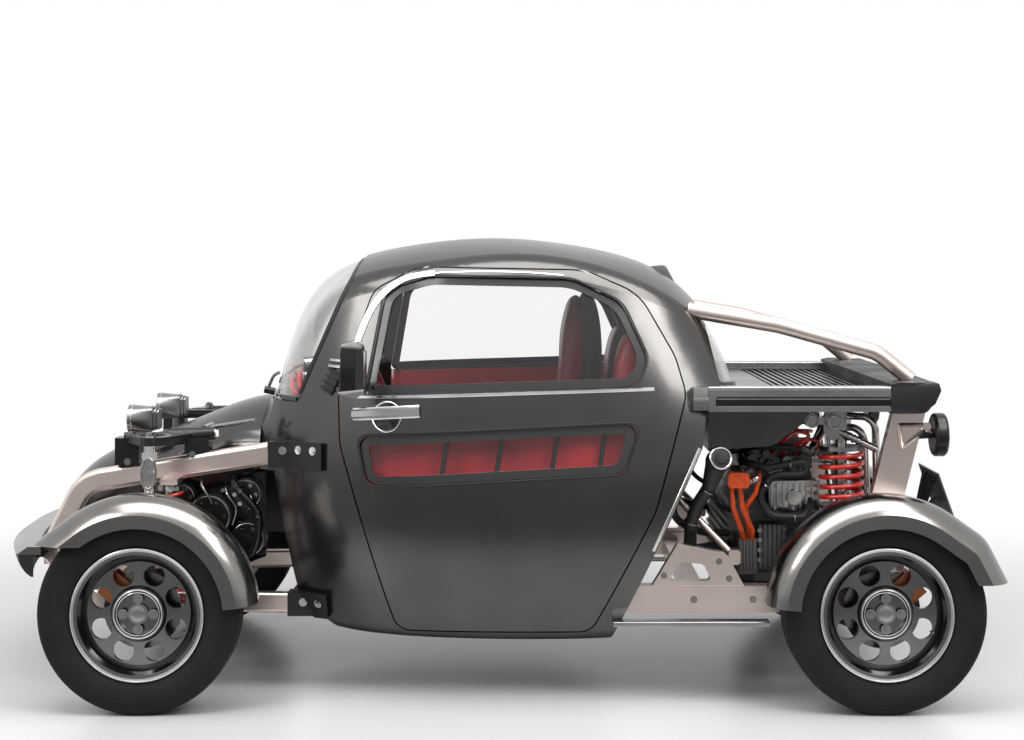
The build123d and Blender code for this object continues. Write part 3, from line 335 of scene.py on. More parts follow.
# %% A kit for making small pieces
class Kit:
    def __init__(self):
        self.mesh = bmesh.new()

    def cover(self, rings, closed_path=False, closed_ring=True, capped=True):
        """Faces between rings of points, each ring the same length."""
        rows = [[self.mesh.verts.new(point) for point in ring] for ring in rings]
        count = len(rows[0])
        spans = range(len(rows) if closed_path else len(rows) - 1)
        for i in spans:
            here, there = rows[i], rows[(i + 1) % len(rows)]
            for j in range(count if closed_ring else count - 1):
                k = (j + 1) % count
                self.mesh.faces.new((here[j], here[k], there[k], there[j]))
        if capped and not closed_path:
            self.mesh.faces.new(rows[0][::-1])
            self.mesh.faces.new(rows[-1])
        return self

    def soften(self, edges, bevel):
        options = {"segments": 2, "affect": "EDGES", "profile": 0.6}
        bmesh.ops.bevel(self.mesh, geom=list(edges), offset=bevel, **options)

    def box(self, low, high, bevel=0.0, turn=Matrix()):
        low, high = Vector(low), Vector(high)
        size = Matrix.Diagonal((*map(abs, high - low), 1))
        matrix = Matrix.Translation((low + high) / 2) @ turn.to_4x4() @ size
        made = bmesh.ops.create_cube(self.mesh, size=1, matrix=matrix)
        if bevel:
            self.soften({edge for vert in made["verts"] for edge in vert.link_edges}, bevel)
        return self

    def rod(self, start, end, radius, end_radius=None, sides=20):
        heading = Vector(end) - Vector(start)
        end_radius = radius if end_radius is None else end_radius
        return self.lathe(start, heading, [(0, radius), (heading.length, end_radius)], sides)

    def lathe(self, centre, axis, profile, sides=40, closed=False):
        """A profile of (distance along the axis, radius) turned about the axis."""
        turn = Vector(axis).to_track_quat("Z", "Y").to_matrix()
        rings = []
        for height, radius in profile:
            ring = [Vector((radius * x, radius * y, height)) for x, y in circle(sides)]
            rings.append([Vector(centre) + turn @ point for point in ring])
        return self.cover(rings, closed_path=closed, capped=not closed)

    def ring(self, centre, axis, radius, thick, sides=48, section=10):
        profile = [(thick * up, radius + thick * out) for out, up in circle(section)]
        return self.lathe(centre, axis, profile, sides, closed=True)

    def tube(self, points, radius, sides=12, steps=8, wave=0.0, waves=0):
        path = smooth_path(points, steps)
        rings, frame_up = [], Vector((0.13, 0.21, 0.97))
        for i, point in enumerate(path):
            ahead = (path[min(i + 1, len(path) - 1)] - path[max(i - 1, 0)]).normalized()
            side = frame_up.cross(ahead).normalized()
            frame_up = ahead.cross(side).normalized()
            size = radius + wave * math.sin(2 * math.pi * waves * i / len(path))
            rings.append([point + (side * x + frame_up * y) * size for x, y in circle(sides)])
        return self.cover(rings)

    def band(self, points, normals, width, height, closed=False, sunk=0.001):
        """A flat strip laid on a surface, with softened top corners."""
        rings = []
        for i, (point, up) in enumerate(zip(points, normals)):
            after = points[(i + 1) % len(points)] if closed or i + 1 < len(points) else point
            before = points[i - 1] if closed or i else point
            side = up.cross(after - before).normalized() * (width / 2)
            soft = side * (1 - min(0.35, height / width))
            half = [(side, -sunk), (side, height * 0.6), (soft, height)]
            ring = [point + out + up * rise for out, rise in half]
            rings.append([point - side - up * sunk] + ring + [
                point - out + up * rise for out, rise in half[:0:-1]])
        return self.cover(rings, closed_path=closed)

    def prism(self, outline, y0, y1, bevel=0.0):
        """A side-view outline of (x, z) points, thick from y0 to y1."""
        low = [self.mesh.verts.new((x, y0, z)) for x, z in outline]
        high = [self.mesh.verts.new((x, y1, z)) for x, z in outline]
        faces = [self.mesh.faces.new(low), self.mesh.faces.new(high[::-1])]
        for i in range(len(outline)):
            k = (i + 1) % len(outline)
            faces.append(self.mesh.faces.new((low[k], low[i], high[i], high[k])))
        if bevel:
            self.soften({edge for face in faces for edge in face.edges}, bevel)
        return self

    def bolt(self, centre, axis, radius, height=None):
        """A hexagon head on a washer."""
        centre, axis = Vector(centre), Vector(axis).normalized()
        height = height or radius * 0.8
        self.rod(centre - axis * 0.002, centre + axis * radius * 0.2, radius * 1.35, sides=18)
        self.rod(centre, centre + axis * height, radius, radius * 0.94, sides=6)
        return self

    def mirror(self):
        whole = self.mesh.verts[:] + self.mesh.edges[:] + self.mesh.faces[:]
        copied = bmesh.ops.duplicate(self.mesh, geom=whole)["geom"]
        for vert in (v for v in copied if isinstance(v, bmesh.types.BMVert)):
            vert.co.y = -vert.co.y
        flipped = [f for f in copied if isinstance(f, bmesh.types.BMFace)]
        bmesh.ops.reverse_faces(self.mesh, faces=flipped)
        return self

    def make(self, name, finish, body="chassis", slot=None, angle=32):
        bmesh.ops.recalc_face_normals(self.mesh, faces=self.mesh.faces)
        mesh = bpy.data.meshes.new(name)
        self.mesh.to_mesh(mesh)
        self.mesh.free()
        mesh.materials.append(finish.material)
        mesh.shade_smooth()
        mesh.set_sharp_from_angle(angle=math.radians(angle))
        made = bpy.data.objects.new(name, mesh)
        bpy.context.scene.collection.objects.link(made)
        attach(made, body)
        slot = slot or finish.slot
        print("made", name, "on", body, "with", len(mesh.polygons), "faces")
        return made


def circle(count):
    """The cosine and sine of equal steps round a turn."""
    steps = [2 * math.pi * n / count for n in range(count)]
    return [(math.cos(a), math.sin(a)) for a in steps]


def smooth_path(points, steps):
    """Points on a smooth curve through the given ones."""
    knots = [Vector(p) for p in points]
    knots = [knots[0] * 2 - knots[1]] + knots + [knots[-1] * 2 - knots[-2]]
    path = []
    for a, b, c, d in zip(knots, knots[1:], knots[2:], knots[3:]):
        for n in range(steps):
            t = n / steps
            square, cube = 2 * a - 5 * b + 4 * c - d, 3 * b - a - 3 * c + d
            path.append(0.5 * (2 * b + (c - a) * t + square * t * t + cube * t**3))
    return path + [knots[-2]]


# %% [markdown]
# Trim has to lie on the curved flanks. A Surface holds some CAD nodes as a search tree. It answers
# where a level line from the side meets them and which way the skin faces there, so a strip can be
# drawn in the side view and laid on the body.

# %% Finding the car's skin
class Surface:
    def __init__(self, *names):
        points, faces = [], []
        for name in names:
            first = len(points)
            points += [v.co.copy() for v in nodes[name].data.vertices]
            faces += [[first + i for i in p.vertices] for p in nodes[name].data.polygons]
        self.tree = BVHTree.FromPolygons(points, faces)
        print("skin of", *names, "with", len(faces), "faces")

    def at(self, x, z, side):
        """Point and outward normal where a level line from the side meets the skin."""
        spot, normal, _, _ = self.tree.ray_cast(Vector((x, side * 1.5, z)), Vector((0, -side, 0)))
        if spot is None or spot.y * side < 0.3:
            spot, normal, _, _ = self.tree.find_nearest(Vector((x, side * 0.75, z)))
        return spot, normal if normal.y * side > 0 else -normal

    def lay(self, outline, side, lift=0.0):
        pairs = [self.at(x, z, side) for x, z in outline]
        return [spot + normal * lift for spot, normal in pairs], [normal for _, normal in pairs]

    def ahead(self, y, z):
        """Where a level line from the front meets the skin."""
        return self.tree.ray_cast(Vector((-1.3, y, z)), Vector((1, 0, 0)))[0]


def rounded(corners, radii, grow=0.0, step=0.03):
    """Points along a closed outline with rounded corners, moved outward by grow."""
    count, path = len(corners), []
    area = sum(a[0] * b[1] - b[0] * a[1] for a, b in zip(corners, corners[1:] + corners[:1]))
    turn_sign = 1 if area > 0 else -1
    lines = []
    for a, b in zip(corners, corners[1:] + corners[:1]):
        along = (Vector(b) - Vector(a)).normalized()
        lines.append((Vector(a) + Vector((along.y, -along.x)) * grow * turn_sign, along))
    for n in range(count):
        (p, u), (q, v) = lines[n - 1], lines[n]
        cross = u.x * v.y - u.y * v.x
        corner = p + u * (((q - p).x * v.y - (q - p).y * v.x) / cross)
        bend = math.acos(max(-1, min(1, u.dot(v))))
        radius = max(radii[n] + grow * (1 if cross * turn_sign > 0 else -1), 0.004)
        reach = radius * math.tan(bend / 2)
        start, end = corner - u * reach, corner + v * reach
        for k in range(9):
            t = k / 8
            path.append(start * (1 - t) ** 2 + corner * 2 * t * (1 - t) + end * t * t)
    return stretch(path + path[:1], step)[:-1]


def stretch(points, step=0.03):
    """Points every so often along an open line of (x, z) points."""
    spots = [Vector(p) for p in points]
    filled = []
    for a, b in zip(spots, spots[1:]):
        parts = max(1, int((b - a).length / step))
        filled += [a + (b - a) * (k / parts) for k in range(parts)]
    return [(p.x, p.y) for p in filled + [spots[-1]]]


# %% [markdown]
# The doors' outlines and windows come again here in metres. From them come the black seals round
# each pane, the bright strip under the windows and a polished strip on the door's front corner,
# laid where the door frame shows a bright reflection: a painted reflection.

# %% Window and door trim, and a painted reflection on the door's front corner
WINDOW = [
    (-0.408, 1.036), (0.505, 1.064), (0.542, 1.16), (0.458, 1.345), (0.29, 1.424),
    (-0.19, 1.434), (-0.345, 1.39),
]
WINDOW_R = [0.01, 0.06, 0.07, 0.11, 0.15, 0.11, 0.07]
LOW_WINDOW = [(-0.434, 0.898), (0.515, 0.945), (0.456, 0.779), (-0.401, 0.732)]
LOW_WINDOW_R = [0.035, 0.035, 0.045, 0.045]
skin = Surface("cabin_shell", "door_left", "door_right")
panes = Surface("side_glass")

DOOR_CORNER = [
    (-0.478, 1.095), (-0.442, 1.2), (-0.408, 1.29), (-0.368, 1.356), (-0.318, 1.402),
    (-0.25, 1.432), (-0.12, 1.446), (0.1, 1.447), (0.26, 1.436),
]
BELT = stretch([(-0.452, 1.026), (0.1, 1.043), (0.56, 1.057)])
BROAD_STEPS = 46
front_corner = [(p.x, p.z) for p in smooth_path([(x, 0, z) for x, z in DOOR_CORNER], 8)]
seals, belts, frits, edges = Kit(), Kit(), Kit(), Kit()
for side in (LEFT, RIGHT):
    for corners, radii in ((WINDOW, WINDOW_R), (LOW_WINDOW, LOW_WINDOW_R)):
        seals.band(*skin.lay(rounded(corners, radii, 0.004), side), 0.006, 0.0025, closed=True)
        border = rounded(corners, [r * 1.5 for r in radii], -0.015)
        frits.band(*panes.lay(border, side), 0.03, 0.0012, closed=True)
    belts.band(*skin.lay(BELT, side), 0.011, 0.005)
    # a bright polished strip on the door's front corner stands in for the door frame's reflection:
    # a painted reflection
    edges.band(*skin.lay(front_corner[:BROAD_STEPS], side), 0.024, 0.0035)
    edges.band(*skin.lay(front_corner[BROAD_STEPS - 1:], side), 0.006, 0.003)
seals.make("window_seals", black_plastic)
frits.make("window_borders", smoked_edge)
belts.make("belt_strips", bright_metal)
edges.make("door_edge_painted_reflection", bright_metal)

# %% [markdown]
# Behind each low pane is a red padded panel, crossed by dark dividers. The low pane itself has a
# faintly darker glass than the window above it.

# %% Door panels behind the low panes
PANEL_DEPTH, PANEL_THICK, BETWEEN_PANES_Z = 0.058, 0.012, 0.98
panels, dividers = Kit(), Kit()
for side in (LEFT, RIGHT):
    inward = Vector((0, -side, 0))
    rim = rounded(LOW_WINDOW, LOW_WINDOW_R, 0.012)
    outer = [skin.at(x, z, side)[0] + inward * PANEL_DEPTH for x, z in rim]
    panels.cover([outer, [p + inward * PANEL_THICK for p in outer]])
    for x in (-0.155, 0.03, 0.215, 0.375):
        low, high = 0.758 + 0.055 * x, 0.916 + 0.05 * x
        dividers.band(*panes.lay(stretch([(x, low), (x + 0.025, high)]), side, -0.034), 0.016, 0.01)
panels.make("door_panels", red_trim)
dividers.make("door_panel_dividers", black_plastic)
nodes["side_glass"].data.materials.append(low_glass.material)
for face in nodes["side_glass"].data.polygons:
    face.material_index = 1 if face.center.z < BETWEEN_PANES_Z else 0

# %% [markdown]
# The door pull is a slim bar over a round thumb dish. The dish is a shallow bowl drawn with a bump,
# because the panel behind it stays whole.

# %% Door pulls
dish = Finish("thumb_dish", (0.13, 0.127, 0.125), 0.25, 0.95, "body_paint")
pulls, pull_edges = Kit(), Kit()
DISH = (-0.334, 0.964)
for side, word in SIDES:
    line = stretch([(-0.446, 0.969), (-0.335, 0.977), (-0.221, 0.984)])
    pulls.band(*skin.lay(line, side, 0.006), 0.03, 0.016)
    pull_edges.band(*skin.lay([(x - 0.002, z) for x, z in line], side, 0.001), 0.042, 0.006)
    spot, normal = skin.at(*DISH, side)
    pull_edges.ring(spot + normal * 0.001, normal, 0.05, 0.0032)
    bowl = Kit().lathe(spot - normal * 0.004, normal, [(0.0, 0.049), (0.0055, 0.049)], 48)
    bowl.make(f"thumb_dish_{word}", dish)
across_dish, depth = (value - centre for value, centre in zip(dish.axes(dish.place(), "XZ"), DISH))
dish.bump((depth * depth + across_dish * across_dish) * 400, 1.0, 0.05)
pulls.make("door_pulls", satin_alloy, slot="alloy")
pull_edges.make("door_pull_edges", bright_metal)

# %% [markdown]
# The windscreen's edge runs down both flanks and over the roof. Its path is found by aiming at the
# car's middle from all round a half circle, at the x where the slanting edge line lies.

# %% Windscreen edge, wipers and the base strip
def over_the_roof(surface, edge_x, count=56, low_z=1.03):
    points, normals = [], []
    for n in range(count + 1):
        angle = math.pi * n / count
        aim = Vector((0, -math.cos(angle), math.sin(angle)))
        x = edge_x(low_z)
        for _ in range(5):
            spot, normal, _, _ = surface.tree.ray_cast(Vector((x, 0, low_z)) + aim * 1.5, -aim)
            if spot is None:
                break
            x = edge_x(spot.z)
        if spot is not None:
            points.append(spot)
            normals.append(normal if normal.dot(aim) > 0 else -normal)
    return points, normals


def screen_edge(z):
    low_part = -0.657 + 0.186 * (z - 1.0) / 0.42
    return low_part if z < 1.42 else -0.471 + 0.042 * (z - 1.42) / 0.18


screen = Surface("windscreen")
screen_seal = Kit().band(*over_the_roof(screen, screen_edge), 0.018, 0.004)
screen_seal.make("windscreen_seal", black_plastic)
base = Kit()
for side in (LEFT, RIGHT):
    base.band(*screen.lay(stretch([(-0.775, 1.012), (-0.655, 1.006)]), side), 0.018, 0.006)
wipers = Kit()
for y in (-0.26, 0.22):
    spot, top = screen.ahead(y, 1.035), screen.ahead(y + 0.2, 1.07)
    wipers.rod(spot + Vector((-0.014, 0, -0.02)), spot + Vector((-0.052, 0, -0.012)), 0.013)
    bend = (spot + top) / 2 + Vector((-0.03, 0, 0.01))
    arm = [spot + Vector((-0.04, 0, -0.01)), bend, top + Vector((-0.02, 0, 0))]
    wipers.tube(arm, 0.006, sides=8)
wipers.make("wipers", black_coat)
base.make("windscreen_base", gloss_black)

# %% [markdown]
# The mirrors get bright caps top and bottom, a gloss front, the glass behind and a pivot.

# %% Mirrors
caps, faces, mirror_glass, pivots = Kit(), Kit(), Kit(), Kit()
TOP_CAP = [(-0.4715, 1.205), (-0.47, 1.2145), (-0.428, 1.2275), (-0.405, 1.211), (-0.404, 1.199)]
FOOT_CAP = [(-0.4795, 1.062), (-0.4795, 1.052), (-0.424, 1.0385), (-0.396, 1.058), (-0.396, 1.071)]
for side in (LEFT, RIGHT):
    for outline in (TOP_CAP, FOOT_CAP):
        caps.prism(outline, side * 0.774, side * 0.8915, 0.003)
    faces.box((-0.474, side * 0.785, 1.074), (-0.468, side * 0.881, 1.196), 0.002)
    faces.box((-0.47, side * 0.887, 1.066), (-0.424, side * 0.8925, 1.202), 0.004)
    mirror_glass.box((-0.3985, side * 0.784, 1.078), (-0.3945, side * 0.882, 1.192), 0.001)
    pivots.rod((-0.448, side * 0.736, 1.092), (-0.448, side * 0.748, 1.092), 0.015)
    pivots.ring((-0.448, side * 0.745, 1.092), (0, 1, 0), 0.021, 0.003, 32, 8)
caps.make("mirror_caps", bright_metal)
faces.make("mirror_fronts", gloss_black)
mirror_glass.make("mirror_glass", bright_metal)
pivots.make("mirror_pivots", bright_metal)

# %% [markdown]
# Under the mirror's foot sit a stack of small silver blocks and a ribbed black vent.

# %% Cowl vents
vents, stacks = Kit(), Kit()
for side in (LEFT, RIGHT):
    vents.band(*skin.lay(stretch([(-0.542, 1.038), (-0.506, 1.112)], 0.01), side), 0.046, 0.008)
    for n in range(4):
        x, z = -0.54 + n * 0.01, 1.05 + n * 0.019
        rib = stretch([(x - 0.022, z + 0.008), (x + 0.024, z - 0.006)], 0.01)
        vents.band(*skin.lay(rib, side, 0.005), 0.007, 0.008)
    for n in range(2):
        z = 1.127 + n * 0.02
        block = stretch([(-0.532 + n * 0.006, z), (-0.478, z - 0.004)], 0.01)
        stacks.band(*skin.lay(block, side, 0.001), 0.014, 0.014)
vents.make("cowl_vents", black_plastic)
stacks.make("cowl_blocks", satin_alloy, slot="alloy")

# %% [markdown]
# The seats' CAD blocks give way to cushions. A cushion is one closed form: its side profile is
# swept across, drawn in towards each edge so that it crowns, and pinched where a channel is sewn.

# %% Seats
def swept(kit, outline, y_middle, width, channels):
    """Sweep a side profile across, drawn in towards both edges and pinched at each channel."""
    steps, rings = 26, []
    middle = sum((Vector(p) for p in outline), Vector((0, 0))) / len(outline)
    for n in range(steps + 1):
        t = -1 + 2 * n / steps
        puff = max(1 - abs(t) ** 5, 0.0) ** 0.5
        sewn = 1 - 0.035 * sum(math.exp(-(((t - c) / 0.03) ** 2)) for c in channels)
        drawn_in = (1 - (0.72 + 0.28 * puff) * sewn) * 3.2
        ring = []
        for point in outline:
            offset = Vector(point) - middle
            spot = middle + offset * (1 - drawn_in * min(1.0, 0.065 / max(offset.length, 0.02)))
            ring.append(Vector((spot.x, y_middle + t * width / 2, spot.y)))
        rings.append(ring)
    return kit.cover(rings)


def soft_outline(points, steps=6):
    looped = smooth_path([(x, 0, z) for x, z in points[-1:] + points + points[:2]], steps)
    return [(p.x, p.z) for p in looped[steps:-2 * steps]]


SEATS = {
    "driver": (0.15, 0.0, 0.4, 1.35),
    "left": (0.33, -0.335, 0.3, 1.225),
    "right": (0.33, 0.335, 0.3, 1.225),
}
BASE = [
    (-0.455, 0.35), (-0.47, 0.44), (-0.44, 0.505), (-0.2, 0.492), (-0.01, 0.48),
    (0.02, 0.4), (-0.02, 0.345), (-0.25, 0.342),
]
cushions, shells = [], Kit()
for who, (x, y, width, top) in SEATS.items():
    back = [
        (-0.01, 0.48), (0.055, 0.7), (0.105, top - 0.3), (0.118, top - 0.12),
        (0.15, top - 0.012), (0.195, top - 0.03), (0.2, top - 0.3), (0.15, 0.65),
        (0.06, 0.45),
    ]
    shell = [
        (0.13, 0.52), (0.185, top - 0.3), (0.178, top - 0.07), (0.2, top + 0.012),
        (0.238, top - 0.01), (0.262, top - 0.13), (0.258, top - 0.32), (0.19, 0.52),
    ]
    base_line, back_line, shell_line = (
        soft_outline([(x + ahead, z) for ahead, z in line]) for line in (BASE, back, shell))
    for part, line, across, channels in (
        ("base", base_line, width, (-0.5, 0.5)),
        ("back", back_line, width * 0.9, (-0.5, -0.17, 0.17, 0.5)),
    ):
        padding = swept(Kit(), line, y, across, channels)
        cushion = padding.make(f"seat_{part}_{who}", red_leather, angle=60)
        cushions.append(cushion)
    swept(shells, shell_line, y, width * 0.86, ())
    half = width * 0.34
    shells.box((x - 0.4, y - half, 0.205), (x - 0.04, y + half, 0.345), 0.01)
shells.make("seat_shells", dark_trim, angle=60)
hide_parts("seats")

# %% [markdown]
# Inside: red trim along both doors with a grey band, round gauges and tubes on the dashboard and a
# clear-framed rear view mirror. They show through the glass and little more.

# %% Cabin trim
trim, trim_band, gauges, gauge_rims = Kit(), Kit(), Kit(), Kit()
for side in (LEFT, RIGHT):
    trim.band(*skin.lay(stretch([(-0.42, 1.012), (0.52, 1.032)]), side, -0.064), 0.062, 0.01)
    trim_band.band(*skin.lay(stretch([(-0.42, 0.962), (0.5, 0.982)]), side, -0.064), 0.022, 0.01)
for y in (-0.17, 0.0, 0.17):
    gauges.rod((-0.565, y, 1.035), (-0.52, y, 1.05), 0.042, 0.05, 32)
    gauge_rims.ring((-0.519, y, 1.05), (1, 0, 0.33), 0.049, 0.005, 36, 8)
for n in range(3):
    heights = ((-0.44, 1.016 + 0.004 * n), (-0.38, 1.04 + 0.014 * n),
               (-0.3, 1.062 + 0.016 * n), (-0.2, 1.06 + 0.01 * n))
    spots = [(screen.ahead(y, z).x + 0.04 + 0.022 * n, y, z) for y, z in heights]
    spots.append((-0.6, -0.12, 0.985))
    trim.tube(spots, 0.0095)
    trim.tube([(x, -y, z) for x, y, z in spots], 0.0095)
for y in (-0.4, 0.4):
    for z, radius in ((1.128, 0.026), (1.082, 0.03)):
        gauges.rod((-0.64, y, z - 0.008), (-0.575, y, z), radius, sides=32)
        gauge_rims.ring((-0.641, y, z - 0.008), (1, 0, 0.1), radius * 0.92, 0.005, 36, 8)
        gauge_rims.rod((-0.636, y, z - 0.008), (-0.59, y, z - 0.002), radius * 1.03, sides=32)
trim.make("cabin_trim", red_trim)
trim_band.make("cabin_trim_band", plate_grey)
gauges.make("gauges", dark_trim)
gauge_rims.make("gauge_rims", satin_alloy, slot="alloy")
tilt = Matrix.Rotation(0.5, 3, "Y")
inside_mirror = Kit().box((-0.335, -0.14, 1.395), (-0.315, 0.14, 1.455), 0.006, tilt)
inside_mirror.rod((-0.315, 0, 1.455), (-0.3, 0, 1.49), 0.008)
inside_mirror.make("inside_mirror", dark_trim)
inside_glass = Kit().box((-0.318, -0.13, 1.4), (-0.312, 0.13, 1.45), 0.002, tilt)
inside_glass.make("inside_mirror_glass", bright_metal)
grip = Kit().ring((-0.405, 0, 0.9863), (135, 0, 56.3), 0.165, 0.0165, 56, 12)
grip.make("steering_rim_cover", red_trim, body="steering_wheel")

# %% [markdown]
# The wheels: bright flange rings, wheel nuts, a cap, a valve, and raised rings on the tyre's
# sidewall. Each set rides on its own wheel.

# %% Wheel and tyre details
FLANGE = [(0.08, 0.216), (0.0818, 0.214), (0.079, 0.201), (0.0745, 0.199), (0.0725, 0.205)]
RIM_RINGS = [
    (0.0812, 0.2165, 0.0028, 96), (0.07, 0.1985, 0.0022, 96),
    (0.0615, 0.079, 0.0025, 64), (0.0605, 0.0705, 0.0016, 64),
]
SIDEWALL_RINGS = [
    (0.08, 0.229, 0.003), (0.0862, 0.245, 0.0022),
    (0.0908, 0.286, 0.0018), (0.0868, 0.301, 0.0022),
]
HUB_CAP = [(0, 0.026), (0.004, 0.025), (0.006, 0.018), (0.0062, 0.004)]
for end, axle_x in AXLES.items():
    for side, word in SIDES:
        body = f"wheel_{end}_{word}"
        out = Vector((0, side, 0))
        centre = Vector((axle_x, side * WHEEL_Y, TYRE_R))
        rims, rings, nuts = Kit(), Kit(), Kit()
        rims.lathe(centre, out, FLANGE, 96, closed=True)
        for lift, radius, thick, sides in RIM_RINGS:
            rims.ring(centre + out * lift, out, radius, thick, sides, 8)
        for x, z in circle(4):
            spot = centre + Vector((x, 0, z)) * 0.05
            nuts.rod(spot + out * 0.056, spot + out * 0.06, 0.017, sides=28)
            nuts.bolt(spot + out * 0.059, out, 0.0095, 0.008)
        nuts.rod(centre + out * 0.056, centre + out * 0.058, 0.0335, sides=36)
        nuts.lathe(centre + out * 0.0575, out, HUB_CAP, 36)
        valve = centre + Vector((0.15, 0, -0.06))
        tip = valve + Vector((0.003, 0, 0)) + out * 0.066
        nuts.rod(valve + out * 0.04, tip, 0.0038, sides=10)
        rims.make(f"rim_rings_{end}_{word}", bright_metal, body)
        nuts.make(f"wheel_nuts_{end}_{word}", satin_alloy, body, "alloy")
        for lift, radius, thick in SIDEWALL_RINGS:
            rings.ring(centre + out * lift, out, radius, thick, 96, 6)
        rings.make(f"sidewall_rings_{end}_{word}", tyre_rubber, body)

# %% [markdown]
# The front end is a machine on show: lenses and rims on the lamps, bolts through the saddles and
# brackets, polished pivots, hoses, and the dark clutter of brackets and rods under the hood.

# %% Front end details
lenses, lamp_rims = Kit(), Kit()
LENS = [(0, 0.043), (0.003, 0.041), (0.006, 0.03), (0.0075, 0.008)]
lenses.lathe((-1.2745, -0.275, 0.919), (-1, 0, 0), LENS, 40)
lamp_rims.ring((-1.2792, -0.275, 0.919), (1, 0, 0), 0.0465, 0.0036, 48, 8)
lamp_rims.ring((-1.266, -0.275, 0.919), (1, 0, 0), 0.0508, 0.002, 48, 8)
lenses.mirror().make("headlamp_lenses", lens_glass)
lamp_rims.mirror().make("headlamp_rims", bright_metal)

UP, OUT = (0, 0, 1), (0, -1, 0)
bolts = Kit()
for x, y, z, axis, size in (
    (-1.232, -0.474, 0.815, OUT, 0.011), (-1.005, -0.474, 0.838, OUT, 0.011),
    (-1.244, -0.492, 0.79, OUT, 0.009), (-1.02, -0.492, 0.815, OUT, 0.009),
    (-1.23, -0.484, 0.886, UP, 0.011), (-1.05, -0.47, 0.886, UP, 0.011),
    (-0.945, -0.452, 0.885, (1, 0, 0.08), 0.013), (-1.14, -0.6205, 0.894, UP, 0.013),
):
    bolts.bolt((x, y, z), axis, size)
bolts.mirror().make("front_bolts", satin_alloy)

brackets = Surface("rail_brackets")
bracket_bolts = Kit()
BRACKET_BOLTS = ((-0.643, 0.841), (-0.59, 0.841), (-0.634, 0.31), (-0.58, 0.31), (-0.7, 0.836))
for x, z in BRACKET_BOLTS:
    for side in (LEFT, RIGHT):
        spot, normal = brackets.at(x, z, side)
        if abs(spot.x - x) < 0.02:
            bracket_bolts.bolt(spot, normal, 0.0105, 0.008)
bracket_bolts.make("bracket_bolts", bright_metal)

HOSE = [
    (-1.088, 0.652, 0.33), (-1.08, 0.65, 0.42), (-1.084, 0.643, 0.53),
    (-1.108, 0.634, 0.6), (-1.14, 0.622, 0.64),
]
PLATE_X, PLATE_Z = AXLES["front"], 0.768
for side, word in SIDES:
    oval = Kit()
    loop = [
        Vector((PLATE_X + 0.0235 * x, side * 0.6605, PLATE_Z + 0.0515 * z)) for x, z in circle(40)]
    oval.band(loop, [Vector((0, side, 0))] * 40, 0.008, 0.005, closed=True)
    stud = [(PLATE_X, side * y, PLATE_Z) for y in (0.6575, 0.666)]
    oval.rod(*stud, 0.01, sides=24)
    oval.make(f"upright_plate_{word}", bright_metal, f"knuckle_{word}")
    hose = Kit().tube([(x, side * y, z) for x, y, z in HOSE], 0.0065, sides=10)
    hose.make(f"brake_hose_{word}", hose_rubber, f"knuckle_{word}")

# %% [markdown]
# The machinery under the hood is drawn on the left and mirrored: stepped drums on a back plate,
# small studs strewn by seeded dice, ribbed hoses and a few thin pipes.

# %% Machinery and linkage
clutter, linkage = Kit(), Kit()
clutter.box((-1.06, -0.3, 0.43), (-0.79, -0.285, 0.735), 0.006)
DRUMS = [
    (-0.975, 0.59, 0.078, 0.12), (-0.85, 0.665, 0.056, 0.105),
    (-0.845, 0.505, 0.062, 0.09), (-1.075, 0.655, 0.045, 0.09),
]
for x, z, radius, depth in DRUMS:
    profile = []
    for n in range(6):
        y, waist = depth * n / 6, radius * 0.86
        profile += [(y, radius), (y + depth / 14, radius)]
        profile += [(y + depth / 12, waist), (y + depth / 7, waist)]
    profile += [(depth, radius * 0.95), (depth + 0.006, radius * 0.85)]
    profile += [(depth + 0.006, radius * 0.4), (depth + 0.014, radius * 0.36)]
    profile += [(depth + 0.015, 0.004)]
    clutter.lathe((x, -0.295, z), OUT, profile, 36)
    linkage.ring((x, -0.295 - depth, z), (0, 1, 0), radius * 0.9, 0.0028, 40, 8)
    for across, up in circle(6):
        spot = (x + radius * 0.66 * across, -0.3 - depth, z + radius * 0.66 * up)
        linkage.bolt(spot, OUT, 0.0055)
dice = random.Random(7)
for n in range(22):
    x, z = -1.04 + dice.random() * 0.24, 0.44 + dice.random() * 0.28
    size, depth = 0.006 + dice.random() * 0.012, 0.03 + dice.random() * 0.06
    clutter.rod((x, -0.298, z), (x, -0.298 - depth, z), size, size * 0.8, sides=14)
    if n % 3 == 0:
        linkage.bolt((x, -0.298 - depth, z), OUT, size * 0.7)
for n in range(3):
    x, drop = -1.01 + n * 0.085, n * 0.02
    linkage.tube([
        (x, -0.3, 0.735 - n * 0.012), (x + 0.01, -0.415, 0.7 - drop),
        (x + 0.045, -0.418, 0.64 - drop), (x + 0.03, -0.4, 0.56),
    ], 0.0042, sides=10)
clutter.tube([
    (-0.9, -0.3, 0.72), (-0.88, -0.44, 0.7), (-0.8, -0.445, 0.6),
    (-0.82, -0.43, 0.47), (-0.9, -0.3, 0.44),
], 0.013, wave=0.0015, waves=26, steps=14)
clutter.tube([
    (-1.05, -0.3, 0.56), (-1.0, -0.435, 0.52), (-0.9, -0.44, 0.43),
    (-0.8, -0.3, 0.44),
], 0.011, wave=0.0013, waves=22, steps=14)
linkage.rod((-0.98, -0.405, 0.9), (-0.8, -0.5, 0.935), 0.007, sides=12)
linkage.rod((-1.08, -0.395, 0.8), (-0.96, -0.405, 0.885), 0.008, sides=12)
linkage.rod((-0.985, -0.445, 0.898), (-0.965, -0.395, 0.905), 0.014)
clutter.mirror().make("front_machinery", dark_steel)
linkage.mirror().make("front_linkage", satin_alloy)
